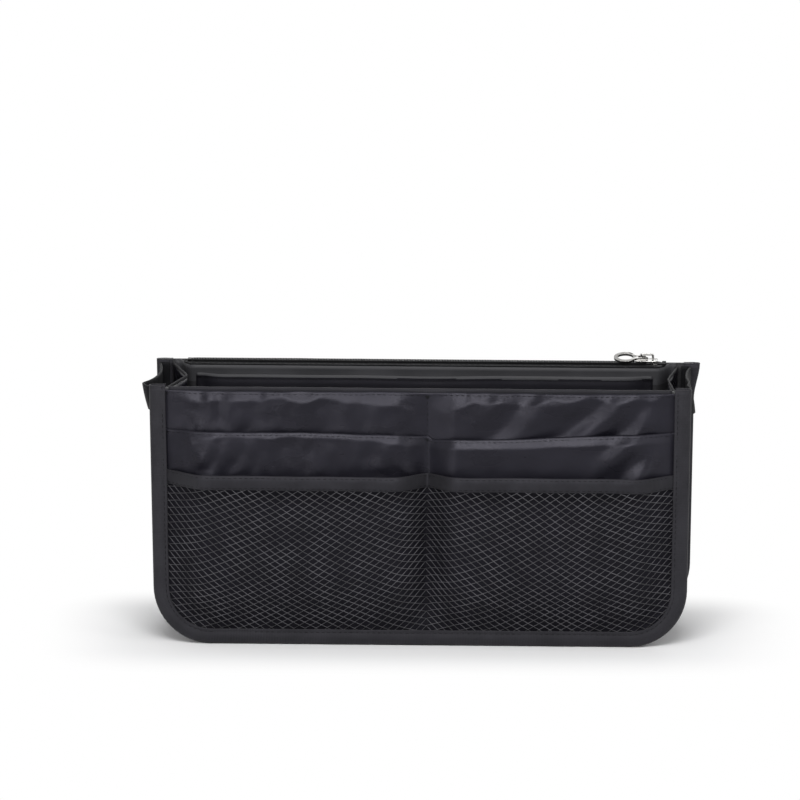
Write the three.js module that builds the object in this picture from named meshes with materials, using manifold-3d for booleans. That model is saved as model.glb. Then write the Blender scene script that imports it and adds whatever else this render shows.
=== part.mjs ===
// Purse organizer insert: a soft open box of bound cloth walls that stands inside a handbag.
// The front wall carries two rows of slip pockets and a pair of net pockets, the rear wall a flat
// zip pouch on its inner side. Folded gussets close the sides and a grab strap crosses each of them.
// Millimetres, X to the right, Y to the back, Z up, standing on the floor at Z = 0.
import * as THREE from "three";
import { mergeVertices } from "three/addons/utils/BufferGeometryUtils.js";
import Module from "manifold-3d";

const wasm = await Module();
wasm.setup();

// Walls
const WIDTH = 300;
const HEIGHT = 146;
const MOUTH_DEPTH = 70;
const CORNER_RADIUS = 32;
const SIDE_TAPER = 0.018;
const CORNER_STEPS = 8;

// Cloth, tape and sheet thicknesses
const LINING_THICK = 0.4;
const STIFFENER_THICK = 0.8;
const CLOTH_THICK = 0.4;
const NET_THICK = 0.6;
const TAPE_THICK = 0.4;
const GUSSET_THICK = 0.6;
const LAYER_GAP = 0.15;
const SEAM_GAP = 0.3;

// Edge bindings
const BINDING_WIDTH = 9;
const BINDING_LEAF = 0.6;
const TOP_TAPE_DROP = 5.4;
const WALL_DROP = 1.6;

// Front pockets: depth of each top edge below the bindings' top, and how far each row bellies out
const UPPER_POCKET_DROP = 2.6;
const MIDDLE_POCKET_DROP = 24.5;
const NET_BAND_DROP = 47.3;
const NET_BAND_HEIGHT = 8;
const SLIP_BELLY = 4.3;
const NET_BELLY = 8.3;
const DIVIDER_X = 4;
const DIVIDER_WIDTH = 6;
const BAY_SIDE_INSET = 17;
const BAY_FLOOR = 19;
const BAY_SLOPE_WIDTH = 14;
const BAY_SLOPE_HEIGHT = 24;

// Net
const NET_CELL_WIDTH = 12;
const NET_CELL_HEIGHT = 8;
const NET_STRAND = 1.5;
const NET_MARGIN = 0.9;
const NET_SAG = 1.5;
const NET_LEAN_WIDTH = 3;

// Rear pockets
const REAR_POCKET_DROP = 34;

// Zip pouch and the slip pocket on its wall
const POUCH_DEPTH = 14;
const POUCH_CLOTH = 0.5;
const POUCH_SIDE_INSET = 14;
const POUCH_FLOOR = 26;
const POUCH_SLOPE_WIDTH = 6;
const POUCH_SLOPE_HEIGHT = 10;
const INNER_POCKET_DROP = 4.5;
const INNER_POCKET_SIDE_INSET = 23;
const INNER_POCKET_FLOOR = 40;
const INNER_POCKET_SLOPE = 12;
const INNER_POCKET_HEM = 4;

// Zipper
const ZIP_TAPE_THICK = 0.5;
const ZIP_TAPE_OVERHANG = 0.8;
const ZIP_TAPE_END = 4.5;
const ZIP_SLIT = 0.8;
const ZIP_THROAT = 3.6;
const TOOTH_PITCH = 3;
const TOOTH_WIDTH = 1;
const TOOTH_HEIGHT = 1.2;
const TOOTH_TIP_LENGTH = 0.9;
const TOOTH_ROOT = 1.6;
const TOOTH_SPINE = 0.8;
const CHAIN_SIDE_INSET = 20.4;
const STOP_LENGTH = 2.2;
const STOP_WIDTH = 1.6;
const STOP_GAP = 2.4;

// Slider and pull
const SLIDER_LENGTH = 12;
const SLIDER_WIDTH = 8.6;
const SLIDER_PLATE = 1;
const SLIDER_PLAY = 0.35;
const SLIDER_SIDE_INSET = 26.4;
const POST_LENGTH = 2.8;
const POST_WIDTH = 2.2;
const BRIDGE_LENGTH = 8;
const BRIDGE_BAR = 1.2;
const BRIDGE_RISE = 3.4;
const BRIDGE_WIDTH = 1.8;
const PULL_THICK = 1.2;
const PULL_EYE_LENGTH = 5;
const PULL_RING_LENGTH = 12.8;
const PULL_RING_WIDTH = 9.2;
const PULL_RING_BAR = 2;
const PULL_PLAY = 0.4;

// Gussets
const LEFT_FOLD_DEPTH = 10;
const RIGHT_FOLD_DEPTH = 4.5;
const FOLD_START = 44;
const FOLD_ROUND = 0.16;
const GUSSET_HEM_HEIGHT = 2;
const GUSSET_HEM_THICK = 1.4;

// Base
const BOARD_THICK = 2;
const BOARD_MARGIN = 2.5;
const BOARD_END_MARGIN = 4;

// Grab straps
const STRAP_WIDTH = 14;
const STRAP_THICK = 1.2;
const STRAP_REACH = 4;
const STRAP_DROP = 1.5;
const STRAP_TAB_INSET = 7.5;
const STRAP_TURN_DEPTH = 1.2;
const STRAP_TURN_LENGTH = 5;

// Layers of a wall, counted outwards from the lining's inner face
const LAYER_STIFFENER = LINING_THICK + LAYER_GAP;
const LAYER_OUTER = LAYER_STIFFENER + STIFFENER_THICK + LAYER_GAP;
const LAYER_UPPER = LAYER_OUTER + CLOTH_THICK + LAYER_GAP;
const LAYER_MIDDLE = LAYER_UPPER + CLOTH_THICK + LAYER_GAP;
const LAYER_NET = LAYER_MIDDLE + CLOTH_THICK + LAYER_GAP;
const LAYER_BAND = LAYER_NET + NET_THICK + LAYER_GAP;
const FRONT_SLOT = LAYER_BAND + TAPE_THICK + LAYER_GAP;
const REAR_SLOT = LAYER_MIDDLE;

// How far each pocket row stands out from its flat edges
const UPPER_SWELL = SLIP_BELLY;
const MIDDLE_SWELL = UPPER_SWELL + SLIP_BELLY;
const NET_SWELL = MIDDLE_SWELL + NET_BELLY;

const FRONT = -1;
const REAR = 1;
const HALF_MOUTH = MOUTH_DEPTH / 2;
const SHEET_INSET = BINDING_LEAF + SEAM_GAP;
const GUSSET_OUT = BINDING_WIDTH + SEAM_GAP;
const GUSSET_IN = GUSSET_OUT + GUSSET_THICK;
const WALL_TOP = HEIGHT - WALL_DROP;
const BAND_TOP = HEIGHT - NET_BAND_DROP;
const BAND_BOTTOM = BAND_TOP - NET_BAND_HEIGHT;
const FRONT_REACH = HALF_MOUTH + LAYER_BAND + TAPE_THICK + NET_SWELL;
const REAR_REACH = HALF_MOUTH + LAYER_UPPER + CLOTH_THICK + SLIP_BELLY;

// Mesh helpers

function solidOf(geometry) {
  const bare = new THREE.BufferGeometry();
  bare.setAttribute("position", geometry.getAttribute("position"));
  bare.setIndex(geometry.index);
  const merged = mergeVertices(bare, 1e-4);
  return new wasm.Manifold(
    new wasm.Mesh({
      numProp: 3,
      vertProperties: new Float32Array(merged.attributes.position.array),
      triVerts: new Uint32Array(merged.index.array),
    }),
  );
}

function geometryOf(solid) {
  const mesh = solid.getMesh();
  const geometry = new THREE.BufferGeometry();
  geometry.setAttribute("position", new THREE.BufferAttribute(mesh.vertProperties, 3));
  geometry.setIndex(new THREE.BufferAttribute(mesh.triVerts, 1));
  return geometry;
}

// A closed body from its corners and triangles, turned so that its faces look outwards.
function closedGeometry(corners, triangles) {
  let volume = 0;
  for (const [a, b, c] of triangles) {
    const [p, q, r] = [a, b, c].map((i) => new THREE.Vector3(...corners[i]));
    volume += p.dot(q.cross(r));
  }
  const faces = volume < 0 ? triangles.map(([a, b, c]) => [a, c, b]) : triangles;
  const geometry = new THREE.BufferGeometry();
  geometry.setAttribute("position", new THREE.Float32BufferAttribute(corners.flat(), 3));
  geometry.setIndex(faces.flat());
  return geometry;
}

function shapeOf(points, holes = []) {
  const shape = new THREE.Shape(points.map(([u, v]) => new THREE.Vector2(u, v)));
  shape.holes = holes.map((hole) => new THREE.Path(hole.map(([u, v]) => new THREE.Vector2(u, v))));
  return shape;
}

function extruded(points, depth, holes = []) {
  return new THREE.ExtrudeGeometry(shapeOf(points, holes), { depth, bevelEnabled: false });
}

// A slab whose outline is seen from above, between two heights.
function slabZ(points, bottom, top, holes = []) {
  return extruded(points, top - bottom, holes).translate(0, 0, bottom);
}

// A slab whose outline is seen from the front, between two depths.
function slabY(points, near, far) {
  return extruded(points, far - near).rotateX(Math.PI / 2).translate(0, far, 0);
}

// A bar along X whose section is given as [y, z] points.
function barX(points, left, right) {
  const turn = new THREE.Matrix4().makeBasis(
    new THREE.Vector3(0, 1, 0),
    new THREE.Vector3(0, 0, 1),
    new THREE.Vector3(1, 0, 0),
  );
  return extruded(points, right - left).applyMatrix4(turn).translate(left, 0, 0);
}

function rectangle(left, right, low, high) {
  return [
    [left, low],
    [right, low],
    [right, high],
    [left, high],
  ];
}

// Wall outline

function tapered(x, z) {
  return x * (1 - SIDE_TAPER * (1 - z / HEIGHT));
}

// Left half of a wall's edge, from its top end down and round the corner to the flat bottom.
function leftEdge(inset, top) {
  const half = WIDTH / 2 - inset;
  const radius = CORNER_RADIUS - inset;
  const points = [[-half, top]];
  for (let i = 0; i <= CORNER_STEPS; i++) {
    const turn = (Math.PI / 2) * (i / CORNER_STEPS);
    points.push([-half + radius * (1 - Math.cos(turn)), inset + radius * (1 - Math.sin(turn))]);
  }
  return points.map(([x, z]) => [tapered(x, z), z]);
}

function rightEdge(inset, top) {
  return leftEdge(inset, top)
    .map(([x, z]) => [-x, z])
    .reverse();
}

function wallOutline(inset, top) {
  return [...leftEdge(inset, top), ...rightEdge(inset, top)];
}

// Cloth sheets made of flat facets

// A sheet over facets of [x, z] points, between the depths that spanAt gives for each point.
function sheetGeometry(facets, spanAt) {
  const flat = [];
  const known = new Map();
  const cornerOf = ([x, z]) => {
    const key = x.toFixed(4) + " " + z.toFixed(4);
    if (!known.has(key)) {
      known.set(key, flat.length);
      flat.push([x, z]);
    }
    return known.get(key);
  };
  const faces = [];
  for (const { contour, holes = [] } of facets) {
    const points = [contour, ...holes].flat();
    const asVectors = (ring) => ring.map(([x, z]) => new THREE.Vector2(x, z));
    const cut = THREE.ShapeUtils.triangulateShape(asVectors(contour), holes.map(asVectors));
    for (const triangle of cut) {
      const [p, q, r] = triangle.map((i) => points[i]);
      const turn = (q[0] - p[0]) * (r[1] - p[1]) - (q[1] - p[1]) * (r[0] - p[0]);
      const face = triangle.map((i) => cornerOf(points[i]));
      faces.push(turn < 0 ? face.reverse() : face);
    }
  }
  const count = flat.length;
  const spans = flat.map(([x, z]) => spanAt(x, z));
  const corners = [
    ...flat.map(([x, z], i) => [x, spans[i][0], z]),
    ...flat.map(([x, z], i) => [x, spans[i][1], z]),
  ];
  const triangles = [];
  const edges = new Set();
  for (const [a, b, c] of faces) {
    triangles.push([a, b, c], [c + count, b + count, a + count]);
    for (const [from, to] of [[a, b], [b, c], [c, a]]) edges.add(from + " " + to);
  }
  for (const edge of edges) {
    const [from, to] = edge.split(" ").map(Number);
    if (edges.has(to + " " + from)) continue;
    triangles.push([to, from, from + count], [to, from + count, to + count]);
  }
  return closedGeometry(corners, triangles);
}

// Depths of a sheet lying in one layer of a wall, standing out by swell where shareAt is 1.
function layerSpan(side, layer, thick, swell, shareAt) {
  return (x, z) => {
    const inner = HALF_MOUTH + layer + swell * shareAt(x, z);
    const ends = [side * inner, side * (inner + thick)];
    return [Math.min(...ends), Math.max(...ends)];
  };
}

// A bay is the part of a pocket that stands out: its sides and floor slope, its top is open.
function bay(left, right, floor, slopeWidth, slopeHeight) {
  return { left, right, floor, slopeWidth, slopeHeight };
}

function bayShare(bays) {
  return (x, z) => {
    const rises = bays.map((b) =>
      Math.min(
        (x - b.left) / b.slopeWidth,
        (b.right - x) / b.slopeWidth,
        (z - b.floor) / b.slopeHeight,
        1,
      ),
    );
    return Math.max(0, ...rises);
  };
}

function bayFacets(b, top) {
  const inLeft = b.left + b.slopeWidth;
  const inRight = b.right - b.slopeWidth;
  const shelf = b.floor + b.slopeHeight;
  return [
    { contour: [[b.left, top], [b.left, b.floor], [inLeft, shelf], [inLeft, top]] },
    { contour: [[inRight, top], [inRight, shelf], [b.right, b.floor], [b.right, top]] },
    { contour: [[b.left, b.floor], [b.right, b.floor], [inRight, shelf], [inLeft, shelf]] },
    { contour: [[inLeft, top], [inLeft, shelf], [inRight, shelf], [inRight, top]] },
  ];
}

// The flat rim of a pocket sheet: its outline less the bays, which are open at the top.
function rimFacet(outline, bays, top) {
  const inner = [...bays]
    .reverse()
    .flatMap((b) => [[b.right, top], [b.right, b.floor], [b.left, b.floor], [b.left, top]]);
  return { contour: [...outline, ...inner] };
}

function pocketSheet(side, layer, thick, swell, outline, bays, top) {
  const facets = [rimFacet(outline, bays, top), ...bays.flatMap((b) => bayFacets(b, top))];
  return sheetGeometry(facets, layerSpan(side, layer, thick, swell, bayShare(bays)));
}

function flatSheet(side, layer, thick, top) {
  const facets = [{ contour: wallOutline(SHEET_INSET, top) }];
  return sheetGeometry(facets, layerSpan(side, layer, thick, 0, () => 0));
}

const BAY_EDGE = WIDTH / 2 - BAY_SIDE_INSET;
const DIVIDER_LEFT = DIVIDER_X - DIVIDER_WIDTH / 2;
const DIVIDER_RIGHT = DIVIDER_X + DIVIDER_WIDTH / 2;
const LEFT_BAY = bay(-BAY_EDGE, DIVIDER_LEFT, BAY_FLOOR, BAY_SLOPE_WIDTH, BAY_SLOPE_HEIGHT);
const RIGHT_BAY = bay(DIVIDER_RIGHT, BAY_EDGE, BAY_FLOOR, BAY_SLOPE_WIDTH, BAY_SLOPE_HEIGHT);
const FRONT_BAYS = [LEFT_BAY, RIGHT_BAY];

// Nets

function insideFacet(contour, point, margin) {
  return contour.every(([x, z], i) => {
    const [nextX, nextZ] = contour[(i + 1) % contour.length];
    const along = [nextX - x, nextZ - z];
    const cross = along[0] * (point[1] - z) - along[1] * (point[0] - x);
    return cross / Math.hypot(...along) >= margin;
  });
}

// Diamond gaps of the net that lie wholly inside one flat facet, below the band.
function netHoles(contour, netBay) {
  const halfWidth = NET_CELL_WIDTH / 2;
  const halfHeight = NET_CELL_HEIGHT / 2;
  const toSide = (halfWidth * halfHeight) / Math.hypot(halfWidth, halfHeight);
  const scale = 1 - NET_STRAND / 2 / toSide;
  const columns = Math.ceil(WIDTH / NET_CELL_WIDTH);
  const rows = Math.ceil(HEIGHT / NET_CELL_HEIGHT);
  const middle = (netBay.left + netBay.right) / 2;
  const span = (netBay.right - netBay.left) / 2;
  // The net hangs a little in the middle of its bay and leans a little towards its top.
  const hang = ([x, z]) => [
    x + NET_LEAN_WIDTH * (z / HEIGHT) ** 2,
    z + NET_SAG * (((x - middle) / span) ** 2 - 1),
  ];
  const holes = [];
  for (let row = 0; row <= 2 * rows; row++) {
    for (let column = -columns; column <= columns; column++) {
      const x = column * NET_CELL_WIDTH + (row % 2) * halfWidth;
      const z = row * halfHeight;
      const hole = [
        [x - halfWidth * scale, z],
        [x, z - halfHeight * scale],
        [x + halfWidth * scale, z],
        [x, z + halfHeight * scale],
      ].map(hang);
      const below = hole.every((p) => p[1] < BAND_BOTTOM - NET_MARGIN);
      if (below && hole.every((p) => insideFacet(contour, p, NET_MARGIN))) holes.push(hole);
    }
  }
  return holes;
}

function netGeometry(outline, netBay) {
  const top = BAND_TOP - SEAM_GAP;
  const pierced = bayFacets(netBay, top).map(({ contour }) => ({
    contour,
    holes: netHoles(contour, netBay),
  }));
  const facets = [rimFacet(outline, [netBay], top), ...pierced];
  return sheetGeometry(facets, layerSpan(FRONT, LAYER_NET, NET_THICK, NET_SWELL, bayShare([netBay])));
}

function netLeft() {
  const top = BAND_TOP - SEAM_GAP;
  const seam = DIVIDER_X - LAYER_GAP;
  return netGeometry([...leftEdge(SHEET_INSET, top), [seam, SHEET_INSET], [seam, top]], LEFT_BAY);
}

function netRight() {
  const top = BAND_TOP - SEAM_GAP;
  const seam = DIVIDER_X + LAYER_GAP;
  return netGeometry([[seam, top], [seam, SHEET_INSET], ...rightEdge(SHEET_INSET, top)], RIGHT_BAY);
}

function netBand() {
  const end = WIDTH / 2 - SHEET_INSET;
  const creases = FRONT_BAYS.flatMap((b) => [b.left, b.left + b.slopeWidth, b.right - b.slopeWidth, b.right]);
  const low = [tapered(-end, BAND_BOTTOM), ...creases, tapered(end, BAND_BOTTOM)];
  const high = [tapered(-end, BAND_TOP), ...creases, tapered(end, BAND_TOP)];
  const facets = [];
  for (let i = 0; i + 1 < low.length; i++) {
    const contour = [
      [low[i], BAND_BOTTOM],
      [low[i + 1], BAND_BOTTOM],
      [high[i + 1], BAND_TOP],
      [high[i], BAND_TOP],
    ];
    facets.push({ contour });
  }
  return sheetGeometry(facets, layerSpan(FRONT, LAYER_BAND, TAPE_THICK, NET_SWELL, bayShare(FRONT_BAYS)));
}

// Bindings: a folded tape round the sides and bottom of a wall, open inwards for the sheets' edges.
function bindingGeometry(side, slot) {
  const ring = (outer, inner, top) => [...wallOutline(outer, top), ...wallOutline(inner, top).reverse()];
  const depths = (from, to) => [side * (HALF_MOUTH + from), side * (HALF_MOUTH + to)].sort((a, b) => a - b);
  const whole = depths(-LAYER_GAP - BINDING_LEAF, slot + BINDING_LEAF);
  const open = depths(-LAYER_GAP, slot);
  const tape = solidOf(slabY(ring(0, BINDING_WIDTH, HEIGHT), ...whole));
  const groove = solidOf(slabY(ring(BINDING_LEAF, BINDING_WIDTH + 1, HEIGHT + 1), ...open));
  return geometryOf(tape.subtract(groove));
}

// The tape over the front wall's top edge wraps the lining and the stiffener.
function topTape() {
  const reach = WIDTH / 2 - GUSSET_IN - SEAM_GAP - GUSSET_HEM_THICK / 2;
  const inside = -HALF_MOUTH + LAYER_GAP + TAPE_THICK;
  const innerLeaf = -HALF_MOUTH + LAYER_GAP;
  const outerLeaf = -HALF_MOUTH - LAYER_OUTER;
  const outside = outerLeaf - TAPE_THICK;
  const low = WALL_TOP - TOP_TAPE_DROP;
  const web = WALL_TOP + LAYER_GAP;
  const section = [
    [outside, low],
    [outerLeaf, low],
    [outerLeaf, web],
    [innerLeaf, web],
    [innerLeaf, low],
    [inside, low],
    [inside, web + TAPE_THICK],
    [outside, web + TAPE_THICK],
  ];
  return barX(section, -reach, reach);
}

// Gussets

// Share of the fold's depth across a gusset, from its front seam at -1 to its rear seam at 1.
const FOLD_COLUMNS = [
  [-1, 0],
  [-FOLD_ROUND, 1 - FOLD_ROUND],
  [0, 1 - FOLD_ROUND / 2],
  [FOLD_ROUND, 1 - FOLD_ROUND],
  [1, 0],
];

// How far a gusset folds in at a height; mirror is 1 for the left side and -1 for the right.
function foldAt(mirror, z) {
  const depth = mirror > 0 ? LEFT_FOLD_DEPTH : RIGHT_FOLD_DEPTH;
  return depth * Math.max(0, (z - FOLD_START) / (HEIGHT - FOLD_START));
}

// A closed body between two grids of points with the same rows and columns.
function gridGeometry(outer, inner) {
  const rows = outer.length;
  const columns = outer[0].length;
  const corners = [...outer.flat(), ...inner.flat()];
  const at = (layer, row, column) => layer * rows * columns + row * columns + column;
  const triangles = [];
  const quad = (a, b, c, d) => triangles.push([a, b, c], [a, c, d]);
  for (let i = 0; i + 1 < rows; i++) {
    for (let j = 0; j + 1 < columns; j++) {
      quad(at(0, i, j), at(0, i, j + 1), at(0, i + 1, j + 1), at(0, i + 1, j));
      quad(at(1, i, j), at(1, i + 1, j), at(1, i + 1, j + 1), at(1, i, j + 1));
    }
    quad(at(0, i, 0), at(0, i + 1, 0), at(1, i + 1, 0), at(1, i, 0));
    quad(at(0, i + 1, columns - 1), at(0, i, columns - 1), at(1, i, columns - 1), at(1, i + 1, columns - 1));
  }
  for (let j = 0; j + 1 < columns; j++) {
    quad(at(0, 0, j + 1), at(0, 0, j), at(1, 0, j), at(1, 0, j + 1));
    quad(at(0, rows - 1, j), at(0, rows - 1, j + 1), at(1, rows - 1, j + 1), at(1, rows - 1, j));
  }
  return closedGeometry(corners, triangles);
}

// Points of a folded strip that follows the wall's edge at one inset, mirrored for the right side.
function foldedStrip(mirror, edge, reach) {
  return edge.map(([x, z]) =>
    FOLD_COLUMNS.map(([across, share]) => [mirror * (x + foldAt(mirror, z) * share), across * reach, z]),
  );
}

function gussetEdge(inset, top) {
  const [upper, ...corner] = leftEdge(inset, top);
  const crease = [tapered(-(WIDTH / 2 - inset), FOLD_START), FOLD_START];
  return [...corner.reverse(), crease, upper];
}

const GUSSET_TOP = WALL_TOP - GUSSET_HEM_HEIGHT;

function gussetGeometry(mirror) {
  const reach = HALF_MOUTH - SEAM_GAP;
  const outer = foldedStrip(mirror, gussetEdge(GUSSET_OUT, GUSSET_TOP), reach);
  const inner = foldedStrip(mirror, gussetEdge(GUSSET_IN, GUSSET_TOP), reach);
  return gridGeometry(outer, inner);
}

function gussetHem(mirror) {
  const reach = HALF_MOUTH - LAYER_GAP - BINDING_LEAF - SEAM_GAP;
  const middle = (GUSSET_OUT + GUSSET_IN) / 2;
  const edgeAt = (inset) =>
    [GUSSET_TOP + LAYER_GAP, WALL_TOP].map((z) => [tapered(-(WIDTH / 2 - inset), z), z]);
  const outer = foldedStrip(mirror, edgeAt(middle - GUSSET_HEM_THICK / 2), reach);
  const inner = foldedStrip(mirror, edgeAt(middle + GUSSET_HEM_THICK / 2), reach);
  return gridGeometry(outer, inner);
}

// Base

const BASE_END = tapered(WIDTH / 2 - CORNER_RADIUS, GUSSET_OUT) - SEAM_GAP;

function baseStrip() {
  const reach = HALF_MOUTH - SEAM_GAP;
  return slabZ(rectangle(-BASE_END, BASE_END, -reach, reach), GUSSET_OUT, GUSSET_IN);
}

function baseBoard() {
  const end = BASE_END - BOARD_END_MARGIN;
  const reach = HALF_MOUTH - BOARD_MARGIN;
  const low = GUSSET_IN + LAYER_GAP;
  return slabZ(rectangle(-end, end, -reach, reach), low, low + BOARD_THICK);
}

// Zip pouch

const POUCH_EDGE = WIDTH / 2 - POUCH_SIDE_INSET;
const POUCH_LAYER = -LAYER_GAP - POUCH_CLOTH;
const POUCH_BAY = bay(-POUCH_EDGE, POUCH_EDGE, POUCH_FLOOR, POUCH_SLOPE_WIDTH, POUCH_SLOPE_HEIGHT);
const POUCH_FACE = POUCH_LAYER - POUCH_DEPTH;

function pouchWall() {
  const outline = wallOutline(GUSSET_IN + SEAM_GAP, HEIGHT);
  return pocketSheet(REAR, POUCH_LAYER, POUCH_CLOTH, -POUCH_DEPTH, outline, [POUCH_BAY], HEIGHT);
}

function innerPocket() {
  const side = WIDTH / 2 - INNER_POCKET_SIDE_INSET;
  const top = HEIGHT - INNER_POCKET_DROP;
  const low = INNER_POCKET_FLOOR;
  const outline = [[-side, top], [-side, low], [side, low], [side, top]];
  const edge = side - INNER_POCKET_HEM;
  const layer = POUCH_FACE - LAYER_GAP - CLOTH_THICK;
  const pocketBay = bay(-edge, edge, low + INNER_POCKET_HEM, INNER_POCKET_SLOPE, INNER_POCKET_SLOPE);
  return pocketSheet(REAR, layer, CLOTH_THICK, -SLIP_BELLY, outline, [pocketBay], top);
}

function rearPocket() {
  const top = HEIGHT - REAR_POCKET_DROP;
  const halfDivider = DIVIDER_WIDTH / 2;
  const bays = [
    bay(-BAY_EDGE, -halfDivider, BAY_FLOOR, BAY_SLOPE_WIDTH, BAY_SLOPE_HEIGHT),
    bay(halfDivider, BAY_EDGE, BAY_FLOOR, BAY_SLOPE_WIDTH, BAY_SLOPE_HEIGHT),
  ];
  const outline = wallOutline(SHEET_INSET, top);
  return pocketSheet(REAR, LAYER_UPPER, CLOTH_THICK, SLIP_BELLY, outline, bays, top);
}

// Zipper

const ZIP_Y = HALF_MOUTH - POUCH_DEPTH / 2;
const ZIP_TAPE_BOTTOM = HEIGHT + LAYER_GAP;
const ZIP_TAPE_TOP = ZIP_TAPE_BOTTOM + ZIP_TAPE_THICK;
const TOOTH_BOTTOM = ZIP_TAPE_TOP + LAYER_GAP;
const TOOTH_TOP = TOOTH_BOTTOM + TOOTH_HEIGHT;
const CHAIN_END = WIDTH / 2 - CHAIN_SIDE_INSET;
const SLIDER_X = WIDTH / 2 - SLIDER_SIDE_INSET;
const CHAIN_RIGHT = SLIDER_X + SLIDER_LENGTH / 2 - POST_LENGTH - STOP_GAP;
const SLIDER_RIGHT = SLIDER_X + SLIDER_LENGTH / 2;

// Rear points lie behind the chain, front points before it: toward is 1 or -1.
function zipTape(toward, outerEdge) {
  const slit = ZIP_Y + (toward * ZIP_SLIT) / 2;
  const throat = ZIP_Y + (toward * ZIP_THROAT) / 2;
  const outer = ZIP_Y + toward * outerEdge;
  const shoulder = ZIP_Y + toward * (outerEdge - ZIP_TAPE_OVERHANG) * 0.4;
  const tip = CHAIN_END + ZIP_TAPE_END;
  const points = [
    [-tip, slit],
    [SLIDER_X, slit],
    [SLIDER_X + POST_LENGTH / 2, throat],
    [tip, throat],
    [tip, shoulder],
    [CHAIN_END, outer],
    [-CHAIN_END, outer],
    [-tip, shoulder],
  ];
  return slabZ(points, ZIP_TAPE_BOTTOM, ZIP_TAPE_TOP);
}

const FRONT_TAPE_EDGE = POUCH_DEPTH / 2 + LAYER_GAP + POUCH_CLOTH + ZIP_TAPE_OVERHANG;
const REAR_TAPE_EDGE = POUCH_DEPTH / 2 + LAYER_OUTER + CLOTH_THICK;

// One row of teeth on its cord: the two rows stand half a pitch apart and reach past the middle.
function toothRow(toward, offset) {
  const tip = ZIP_Y - toward * TOOTH_TIP_LENGTH;
  const root = ZIP_Y + toward * TOOTH_ROOT;
  const back = root + toward * TOOTH_SPINE;
  const points = [];
  for (let x = -CHAIN_END + offset; x + TOOTH_WIDTH < CHAIN_RIGHT; x += TOOTH_PITCH) {
    points.push([x, root], [x, tip], [x + TOOTH_WIDTH, tip], [x + TOOTH_WIDTH, root]);
  }
  const last = points[points.length - 1][0];
  return slabZ([...points, [last, back], [-CHAIN_END + offset, back]], TOOTH_BOTTOM, TOOTH_TOP);
}

function zipStop(left, near, far) {
  return slabZ(rectangle(left, left + STOP_LENGTH, near, far), TOOTH_BOTTOM, TOOTH_TOP);
}

function leftStop() {
  const reach = TOOTH_ROOT + TOOTH_SPINE;
  const left = -CHAIN_END - STOP_LENGTH - SEAM_GAP;
  return zipStop(left, ZIP_Y - reach, ZIP_Y + reach);
}

function rightStop(toward) {
  const inner = ZIP_Y + (toward * ZIP_THROAT) / 2;
  const ends = [inner, inner + toward * STOP_WIDTH].sort((a, b) => a - b);
  return zipStop(SLIDER_RIGHT + STOP_GAP, ...ends);
}

// Slider: two plates held apart by the post that parts the teeth
const PLATE_LOW = ZIP_TAPE_BOTTOM - SLIDER_PLAY - SLIDER_PLATE;
const PLATE_HIGH = TOOTH_TOP + SLIDER_PLAY;
const SLIDER_TOP = PLATE_HIGH + SLIDER_PLATE;

function sliderBody() {
  const half = SLIDER_LENGTH / 2;
  const wide = SLIDER_WIDTH / 2;
  const narrow = wide * 0.7;
  const place = (points) => points.map(([x, y]) => [SLIDER_X + x, ZIP_Y + y]);
  const plate = place([
    [-half, -narrow],
    [0, -wide],
    [half - 1, -wide],
    [half, -wide * 0.75],
    [half, wide * 0.75],
    [half - 1, wide],
    [0, wide],
    [-half, narrow],
  ]);
  const postRight = half - SEAM_GAP;
  const post = place([
    [postRight - POST_LENGTH, -POST_WIDTH / 5],
    [postRight, -POST_WIDTH / 2],
    [postRight, POST_WIDTH / 2],
    [postRight - POST_LENGTH, POST_WIDTH / 5],
  ]);
  const lower = solidOf(slabZ(plate, PLATE_LOW, PLATE_LOW + SLIDER_PLATE));
  const upper = solidOf(slabZ(plate, PLATE_HIGH, SLIDER_TOP));
  const wedge = solidOf(slabZ(post, PLATE_LOW + SLIDER_PLATE / 2, PLATE_HIGH + SLIDER_PLATE / 2));
  return geometryOf(lower.add(upper).add(wedge));
}

function sliderBridge() {
  const half = BRIDGE_LENGTH / 2;
  const inner = half - BRIDGE_BAR;
  const under = BRIDGE_RISE - BRIDGE_BAR;
  const cut = BRIDGE_BAR * 0.7;
  const arch = [
    [-half, 0],
    [-inner, 0],
    [-inner, under],
    [inner, under],
    [inner, 0],
    [half, 0],
    [half, BRIDGE_RISE - cut],
    [half - cut, BRIDGE_RISE],
    [-half + cut, BRIDGE_RISE],
    [-half, BRIDGE_RISE - cut],
  ];
  const near = ZIP_Y - BRIDGE_WIDTH / 2;
  return slabY(arch, near, near + BRIDGE_WIDTH).translate(SLIDER_X, 0, SLIDER_TOP + LAYER_GAP);
}

// Pull: an eye that hangs on the bridge and an open ring to hold, lying to the left over the chain
const PULL_AXIS_Z = SLIDER_TOP + PULL_PLAY + PULL_THICK / 2;

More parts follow.
